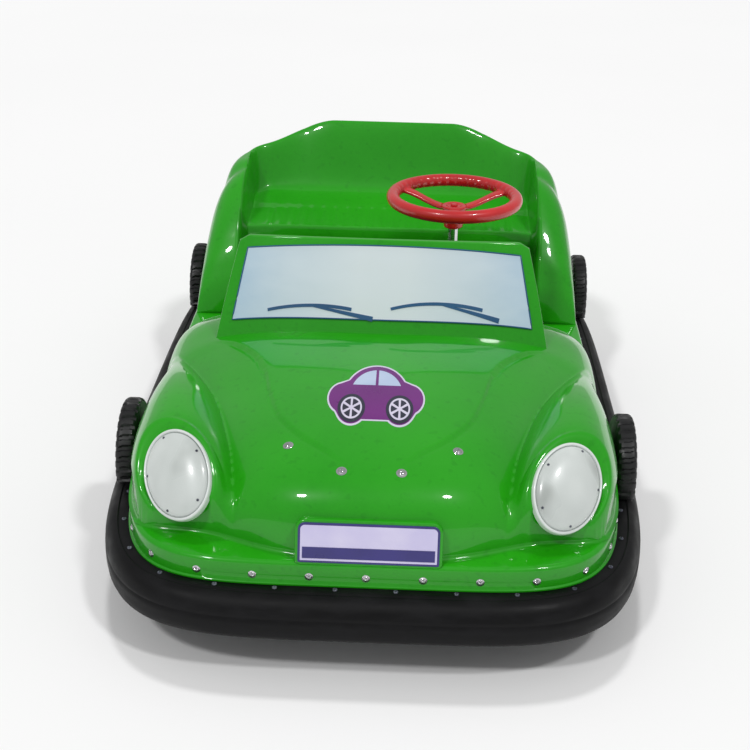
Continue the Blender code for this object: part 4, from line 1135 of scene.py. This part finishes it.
def tub_height(x, y):
    """Height of the seat tub over the ledge, with its ribs and rounded lips."""
    across = np.abs(x)
    seat = SEAT_TOP - LEDGE_TOP + SEAT_SLOPE * np.clip(y - SEAT_FRONT, 0, 1)
    shoulder = np.clip((across - PLATEAU_HALF) / (SEAT_HALF - PLATEAU_HALF), 0, 1)
    back_top = BACK_TOP - (BACK_TOP - SHOULDER_TOP) * smooth_step(shoulder) - LEDGE_TOP
    depth, backward = cavity_depth(x, y)
    turn = smooth_step(backward)
    top = wing_height(y) * (1 - turn) + back_top * turn
    lean = BACK_LEAN * (1 - 0.4 * smooth_step((across - 0.24) / 0.13))
    width = WING_LEAN + (lean - WING_LEAN) * turn**2
    rise = soft_ramp(depth / width + 0.02, 0.10 + 0.14 * turn) * (1.045 + 0.03 * turn)
    rise = np.minimum(rise, 1.0)
    ribbed = smooth_step((y - SEAT_FRONT - 0.012) / 0.02)
    ribbed = ribbed * smooth_step((SEAT_BACK - 0.095 - y) / 0.04)
    ribbed = ribbed * smooth_step((SEAT_HALF - 0.035 - across) / 0.015)
    wave = (0.5 - 0.5 * np.cos(2 * math.pi * x / RIB_PITCH)) ** 3
    front = np.clip((y - SEAT_FRONT + 0.001) / 0.016, 0, 1)
    bench = (seat - RIB_DEPTH * wave * ribbed) * (1 - (1 - front) ** 3) ** (1 / 3)
    edge = np.clip(plan_radius(x, np.maximum(y, 0), BODY_HALF), 0, 1)
    inner = 0.35 + 0.65 * smooth_step((SEAT_HALF + 0.025 - across) / 0.05)
    sharpness = WING_EDGE + (BACK_EDGE - WING_EDGE) * inner * smooth_step((y - 0.62) / 0.16)
    outside = (1 - edge**sharpness) ** (1 / 3)
    return np.maximum(bench + (top - bench) * rise, 0) * outside


def between(*marks):
    """Places between marks given as (place, spacing up to it)."""
    line = [marks[0][0]]
    for (start, _), (end, spacing) in zip(marks, marks[1:]):
        steps = max(1, int(round((end - start) / spacing)))
        line += [start + (end - start) * (k + 1) / steps for k in range(steps)]
    return np.array(line)


def tub_plan():
    """Places of the tub's grid, closer together at its lips and round its outline."""
    half = BODY_HALF[0]
    right = between((0.0, 0), (0.355, 0.0045), (SEAT_HALF + 0.006, 0.0011), (0.455, 0.0045),
                    (half - 0.012, 0.0025), (half - 0.002, 0.0011), (half, 0.0003))
    x_line = np.concatenate([-right[:0:-1], right])
    fixed = between((WING_FOOT, 0), (WING_FOOT + 0.03, 0.003), (SEAT_FRONT - 0.004, 0.005),
                    (SEAT_FRONT + 0.020, 0.0012), (SEAT_BACK - 0.03, 0.007),
                    (SEAT_BACK + BACK_LEAN + 0.006, 0.003))
    tail = np.sin(np.linspace(0, math.pi / 2, 15))[1:]
    columns = []
    for place in x_line:
        share = min(abs(place) / half, 1.0)
        rear = BODY_HALF[1] * (1 - share**SKIRT_POWER) ** (1 / SKIRT_POWER)
        rear = max(rear, WING_FOOT + 0.05)
        squeeze = min(1.0, (rear - 0.006 - WING_FOOT) / (fixed[-1] - WING_FOOT))
        line = WING_FOOT + (fixed - WING_FOOT) * squeeze
        columns.append(np.concatenate([line, line[-1] + (rear - line[-1]) * tail]))
    y = np.array(columns).T
    return np.broadcast_to(x_line, y.shape), y


def clean_up(shape):
    """Drops loose points and turns the faces upwards."""
    loose = [v for v in shape.verts if not v.link_faces]
    bmesh.ops.delete(shape, geom=loose, context="VERTS")
    if sum(f.normal.z * f.calc_area() for f in shape.faces) < 0:
        bmesh.ops.reverse_faces(shape, faces=shape.faces)


def make_tub():
    x, y = tub_plan()
    z = tub_height(x, y)
    points = np.stack([x, y, LEDGE_TOP + z], axis=-1).reshape(-1, 3)
    flat = z.reshape(-1) < 1e-4
    faces = []
    for face in grid_faces(*y.shape):
        middle = points[list(face)].mean(axis=0)
        if not all(flat[i] for i in face) or middle[1] >= SEAT_FRONT + 0.01:
            faces.append(face)
    mesh = reshape(mesh_of("seat_tub_shell", points, faces), clean_up)
    tub = add("seat_tub_shell", mesh, "green_gelcoat", stands_for=["seat_tub"], smooth=75)
    wall = tub.modifiers.new("wall", "SOLIDIFY")
    wall.thickness = SHELL
    wall.offset = -1


# ======================= trim wheels =======================


def cut_at_ring(shape):
    """Takes away what lies under the rubber ring's top, and closes the cut."""
    everything = shape.verts[:] + shape.edges[:] + shape.faces[:]
    cut = bmesh.ops.bisect_plane(shape, geom=everything, dist=1e-6, plane_co=(0, 0, RUBBER_TOP),
                                 plane_no=(0, 0, 1), clear_inner=True)
    edges = [e for e in cut["geom_cut"] if isinstance(e, bmesh.types.BMEdge)]
    bmesh.ops.edgenet_fill(shape, edges=edges)


def make_trim_wheels():
    r, w = TRIM_WHEEL_RADIUS, TRIM_WHEEL_WIDTH
    profile = [(0.0, 0.002), (r - 0.008, 0.002), (r - 0.002, 0.006), (r, 0.012), (r, w - 0.014)]
    profile += [(x + 0.002, z) for x, z in arc((r - 0.012, w - 0.010), 0.010, 0, 90, 6)]
    profile += [(r - 0.020, w), (r - 0.032, w - 0.001), (r - 0.036, w - 0.004), (r - 0.040, w - 0.012)]
    disc = ((0.052, 0.014), (0.034, 0.012), (0.030, 0.006), (0.024, 0.003), (0.008, 0.001), (0.0, 0.001))
    profile += [(x, w - drop) for x, drop in disc]

    def lugs(angle, radius, height):
        if radius < r - 0.010 or height < 0.004:
            return 0.0
        wave = math.sin(TREAD_LUGS * angle + 40 * (height - w / 2))
        return -0.0045 if wave < -0.25 else 0.0

    for end, y in TRIM_WHEEL_Y.items():
        for side, name in SIDES:
            hub = Vector((side * (SKIRT_HALF[0] + 0.0003), y, TRIM_WHEEL_HEIGHT))
            place = Matrix.Translation(hub) @ Matrix.Rotation(side * math.pi / 2, 4, "Y")
            wheel = reshape(turned("trim_wheel", profile, TREAD_LUGS * 10, place, lugs), cut_at_ring)
            node = f"side_wheel_{end}_{name}"
            add(f"trim_wheel_{end}_{name}", wheel, "black_plastic", stands_for=[node], smooth=35)


# ======================= steering =======================


def make_steering_wheel():
    """Rim, three spokes and a dished hub, run together as one moulding."""
    x, y = COLUMN
    place = Matrix.Translation((x, y, 0))
    turns = np.arange(20) * math.pi / 10
    ring = [(RIM_RADIUS + RIM_TUBE * math.cos(t), WHEEL_HEIGHT + RIM_TUBE * math.sin(t)) for t in turns]

    def grips(angle, radius, height):
        return 0.0014 * math.cos(42 * angle) * max(0.0, (RIM_RADIUS - radius) / RIM_TUBE)

    top = WHEEL_HEIGHT - 0.018
    hub = [(0, HUB_LOW), (0.0215, HUB_LOW), (0.024, HUB_LOW + 0.003), (0.0265, top - 0.020)]
    hub += [(0.031, top - 0.010), (0.032, top - 0.003), (0.029, top), (0.020, top)]
    hub += [(0.016, top - 0.003), (0, top - 0.003)]
    parts = [turned("rim", ring, 252, place, grips), turned("hub", hub, 64, place)]
    for k in range(3):
        angle = -math.pi / 2 + k * 2 * math.pi / 3
        parts.append(spoke(place @ Matrix.Rotation(angle, 4, "Z"), top - 0.010))
    moulding = merged("steering_wheel_moulding", parts)
    piece = add("steering_wheel_moulding", moulding, "red_plastic", "steering", ["steering_wheel"], 60)
    remesh = piece.modifiers.new("mould", "REMESH")
    remesh.mode = "VOXEL"
    remesh.voxel_size = 0.0022
    remesh.use_smooth_shade = True
    relax = piece.modifiers.new("relax", "SMOOTH")
    relax.factor = 0.5
    relax.iterations = 5
    profile = [(0, -0.006), (0.009, -0.006), (0.009, 0.001), (0.007, 0.003), (0, 0.003)]
    nut = turned("nut", [(radius, top + over) for radius, over in profile], 6, place)
    bevel(add("steering_nut", nut, "red_plastic", "steering", smooth=20), 0.0008, 2, 20)


def spoke(place, low):
    """A curved bar from the hub up to the rim, thicker along its middle."""
    count, sides = 14, 16
    points = []
    for t in np.linspace(0, 1, count):
        reach = 0.018 + (RIM_RADIUS - 0.002 - 0.018) * t
        level = low + (WHEEL_HEIGHT - 0.004 - low) * float(smooth_step(np.array(t * 1.1 - 0.1)))
        half = 0.015 - 0.003 * math.sin(math.pi * t) + 0.004 * t**4
        for a in np.arange(sides) * 2 * math.pi / sides:
            c, s = math.cos(a), math.sin(a)
            across = half * math.copysign(abs(c) ** 0.6, c)
            over = 0.0062 * math.copysign(abs(s) ** 0.8, s)
            points.append(place @ Vector((reach, across, level + over)))
    ends = [tuple(range(sides)), tuple(range((count - 1) * sides, count * sides))[::-1]]
    return mesh_of("spoke", points, grid_faces(count, sides, wrap=True) + ends)


def make_post_bolts():
    """The bolts that hold the post's flange."""
    x, y = COLUMN
    head = pan_head(0.0058, 0.0040, washer=0.0080)
    bolts = []
    for k in range(4):
        angle = math.pi / 4 + k * math.pi / 2
        across, along = 0.036 * math.cos(angle), 0.036 * math.sin(angle)
        bolts.append(stand_on(head, (x + across, y + along, LEDGE_TOP + 0.0062), (0, 0, 1)))
    add("post_bolts", merged("post_bolts", bolts), "bright_steel")


# ======================= floor, pedal and running gear =======================


def floor_rib(start, end, y, top):
    """A low rib along X, tapered at its ends."""
    section = [(-0.006, 0.0), (-0.0035, 0.0016), (0.0035, 0.0016), (0.006, 0.0)]
    tip = [(dy * 0.6, 0.0) for dy, _ in section]
    stations = ((start, tip), (start + 0.003, section), (end - 0.003, section), (end, tip))
    points = [(x, y + dy, top + dz - 0.0003) for x, shape in stations for dy, dz in shape]
    faces = grid_faces(4, 4, wrap=True) + [(0, 1, 2, 3), (15, 14, 13, 12)]
    return mesh_of("rib", points, faces)


def make_floor_ribs():
    """Raised ribs moulded into the mat, across the footwell and clear of the post and the pedal."""
    low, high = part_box("cockpit_floor")
    column = Vector(COLUMN)
    ribs = []
    for y in np.arange(low.y + 0.20, high.y - 0.02, 0.030):
        spans = [(low.x + 0.05, -0.012)]
        start, end = 0.012, high.x - 0.05
        if abs(y - column.y) < 0.07:
            spans += [(start, column.x - 0.065), (column.x + 0.065, end)]
        elif y < -0.005:
            spans.append((start + 0.110, end))
        else:
            spans.append((start, end))
        ribs += [floor_rib(*span, y, high.z) for span in spans]
    add("floor_mat_ribs", merged("floor_mat_ribs", ribs), "floor_mat", smooth=30)


def make_pedal_pad():
    """Cross ribs on the pedal's sloping face."""
    low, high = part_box("accelerator_pedal")
    ribs = []
    for share in np.linspace(0.10, 0.86, 7):
        y = high.y + (low.y + 0.015 - high.y) * share
        z = low.z + 0.010 + 0.043 * share
        path = [(low.x + 0.006, y, z), ((low.x + high.x) / 2, y, z), (high.x - 0.006, y, z)]
        ribs.append(tube_along("pad_rib", path, 0.0022, 8))
    add("pedal_ribs", merged("pedal_ribs", ribs), "black_rubber")


def make_treads():
    """Road tyres with three grooves round them, for the drive wheel and the two rear wheels."""
    for name in ("drive", "rear_left", "rear_right"):
        node = name + "_tyre"
        low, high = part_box(node)
        half = (high.x - low.x) / 2
        r = WHEEL_RADIUS
        shoulder = [(HUB_RADIUS + 0.0003, half), (r - 0.012, half), (r - 0.004, half - 0.003),
                    (r - 0.001, half - 0.009)]
        profile = [(radius, -z) for radius, z in shoulder]
        for k in (-1, 0, 1):
            groove = k * half * 0.5
            profile += [(r, groove - 0.0022), (r - 0.0035, groove - 0.0012)]
            profile += [(r - 0.0035, groove + 0.0012), (r, groove + 0.0022)]
        profile += shoulder[::-1]
        turn = Matrix.Translation((low + high) / 2) @ Matrix.Rotation(math.pi / 2, 4, "Y")
        add(node + "_tread", turned("tread", profile, 96, turn), "tyre_rubber", name + "_wheel", [node], 35)


def make_motor_fins():
    """Cooling fins and an end cap round the drive motor."""
    low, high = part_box("drive_motor")
    centre = (low + high) / 2
    radius = (high.z - low.z) / 2
    turn = Matrix.Translation((0, centre.y, centre.z)) @ Matrix.Rotation(math.pi / 2, 4, "Y")
    profile = [(0.0, low.x + 0.0005), (radius - 0.004, low.x + 0.0005)]
    for k in range(9):
        start = low.x + 0.010 + k * 0.007
        profile += [(radius - 0.006, start), (radius, start + 0.001)]
        profile += [(radius, start + 0.003), (radius - 0.006, start + 0.004)]
    end = high.x
    profile += [(radius - 0.002, end - 0.012), (radius - 0.002, end - 0.006), (radius - 0.010, end)]
    profile += [(0.016, end), (0.012, end - 0.002), (0.0, end - 0.002)]
    case = turned("motor_case", profile, 64, turn)
    add("motor_case", case, "dark_motor", "drive_unit", ["drive_motor"], 30)


def chain_link(a, b, way, middle, deep):
    """The two side plates of a link, with round ends."""
    out = Vector((-way.y, way.x))
    shape = []
    for centre, first in ((b, -90), (a, 90)):
        for t in np.radians(np.linspace(first, first + 180, 6)):
            shape.append(centre + (way * math.cos(t) + out * math.sin(t)) * 0.0030)
    plates = []
    for levels in ((-deep - 0.0007, -deep), (deep, deep + 0.0007)):
        low, high = ([(*p, middle + level) for p in shape] for level in levels)
        plates.append(prism("link", low, high))
    return plates


def make_chain_links():
    """A roller chain round the two sprockets."""
    low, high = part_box("steering_chain")
    middle = (low.z + high.z) / 2
    low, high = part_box("swivel_sprocket")
    start, end = Vector((0.0, low.y / 2 + high.y / 2)), Vector(COLUMN)
    size = (high.x - low.x) / 2 + CHAIN_REACH
    span = (end - start).length
    along = (end - start) / span
    side = Vector((-along.y, along.x))
    turn = math.pi * size
    total = 2 * span + 2 * turn
    count = 2 * round(total / CHAIN_PITCH / 2)

    def at(distance):
        d = distance % total
        if d < span:
            return start + along * d - side * size
        d -= span
        if d < turn:
            return end - side * size * math.cos(d / size) + along * size * math.sin(d / size)
        d -= turn
        if d < span:
            return end - along * d + side * size
        t = (d - span) / size
        return start + side * size * math.cos(t) - along * size * math.sin(t)

    links = []
    for k in range(count):
        a, b = at(k * total / count), at((k + 1) * total / count)
        links += chain_link(a, b, (b - a).normalized(), middle, 0.0021 if k % 2 else 0.0014)
        roller = [(0, -0.0024), (0.0022, -0.0024), (0.0022, 0.0024), (0, 0.0024)]
        links.append(turned("roller", roller, 8, Matrix.Translation((*a, middle))))
    add("chain_links", merged("chain_links", links), "dark_chain", "car", ["steering_chain"], 30)


CARRIED_OVER = {
    "grey_steel": ("chassis_plate", "steel_band", "swivel_bridge", "drive_fork", "axle_bracket_left",
                   "axle_bracket_right", "steering_post", "column_foot_bearing"),
    "bright_steel": ("rear_axle", "swivel_sprocket", "column_sprocket"),
    "cast_metal": ("drive_hub", "rear_left_hub", "rear_right_hub"),
    "chrome": ("steering_column",),
    "floor_mat": ("cockpit_floor",),
    "black_plastic": ("accelerator_pedal",),
    "battery_case": ("battery_block",),
}


def paint_carried_over():
    for look, nodes in CARRIED_OVER.items():
        for node in nodes:
            mesh = frame["nodes"][node].data
            mesh.materials.clear()
            mesh.materials.append(LOOKS[look])


# ======================= stage, light and camera =======================


def make_stage():
    shape = bmesh.new()
    bmesh.ops.create_grid(shape, x_segments=1, y_segments=1, size=30)
    mesh = bpy.data.meshes.new("studio_floor")
    shape.to_mesh(mesh)
    shape.free()
    floor = placed("studio_floor", mesh)
    paint, tree, shader = nodes_of("studio_floor")
    tint = ramp(tree, noise(tree, 0.4), [(0.3, (0.90, 0.90, 0.90)), (0.7, (0.92, 0.92, 0.92))])
    feed(tree, shader, {"Base Color": tint, "Roughness": 0.9})
    mesh.materials.append(paint)


def add_sun(name, towards, power, angle, glints=True):
    data = bpy.data.lights.new(name, "SUN")
    data.energy = power
    data.angle = math.radians(angle)
    lamp = placed(name, data)
    lamp.rotation_euler = Vector(towards).to_track_quat("-Z", "Y").to_euler()
    lamp.visible_glossy = glints


def make_light():
    """A white backdrop that lights the car less than the camera sees, and three soft suns."""
    world = bpy.data.worlds.new("studio")
    bpy.context.scene.world = world
    world.use_nodes = True
    tree = world.node_tree
    white = (1.0, 1.0, 1.0, 1.0)
    dim = tree.nodes["Background"]
    feed(tree, dim, {"Color": white, "Strength": WORLD_DIM})
    bright = made(tree, "Background", {"Color": white, "Strength": 1.0})
    path = tree.nodes.new("ShaderNodeLightPath")
    inputs = {0: path.outputs["Is Camera Ray"], 1: dim.outputs[0], 2: bright.outputs[0]}
    mix = made(tree, "MixShader", inputs)
    feed(tree, tree.nodes["World Output"], {"Surface": mix.outputs[0]})
    add_sun("hall_front_left", (0.55, 0.75, -1.15), 0.85, 6)
    add_sun("hall_front_right", (-0.60, 0.55, -1.25), 0.80, 6)
    add_sun("hall_back", (0.05, -0.45, -1.3), 0.75, 7, glints=False)
    bpy.context.scene.view_settings.view_transform = "Standard"


def make_camera():
    yaw, pitch, roll = CAMERA_ANGLES
    ahead = Vector((math.sin(yaw) * math.cos(pitch), math.cos(yaw) * math.cos(pitch), -math.sin(pitch)))
    level = Vector((math.cos(yaw), -math.sin(yaw), 0))
    over = level.cross(ahead)
    right = level * math.cos(roll) + over * math.sin(roll)
    up = over * math.cos(roll) - level * math.sin(roll)
    data = bpy.data.cameras.new("camera")
    data.lens = CAMERA_LENS
    data.sensor_width = 36
    camera = placed("camera", data)
    turn = Matrix((right, up, -ahead)).transposed().to_4x4()
    camera.matrix_world = Matrix.Translation(CAMERA_PLACE) @ turn
    bpy.context.scene.camera = camera


paint_carried_over()
make_cowl()
make_flange()
make_bumper()
make_windscreen()
make_lamps()
make_plate()
make_icon()
make_tub()
make_trim_wheels()
make_steering_wheel()
make_post_bolts()
make_floor_ribs()
make_pedal_pad()
make_treads()
make_motor_fins()
make_chain_links()
make_stage()
make_light()
make_camera()
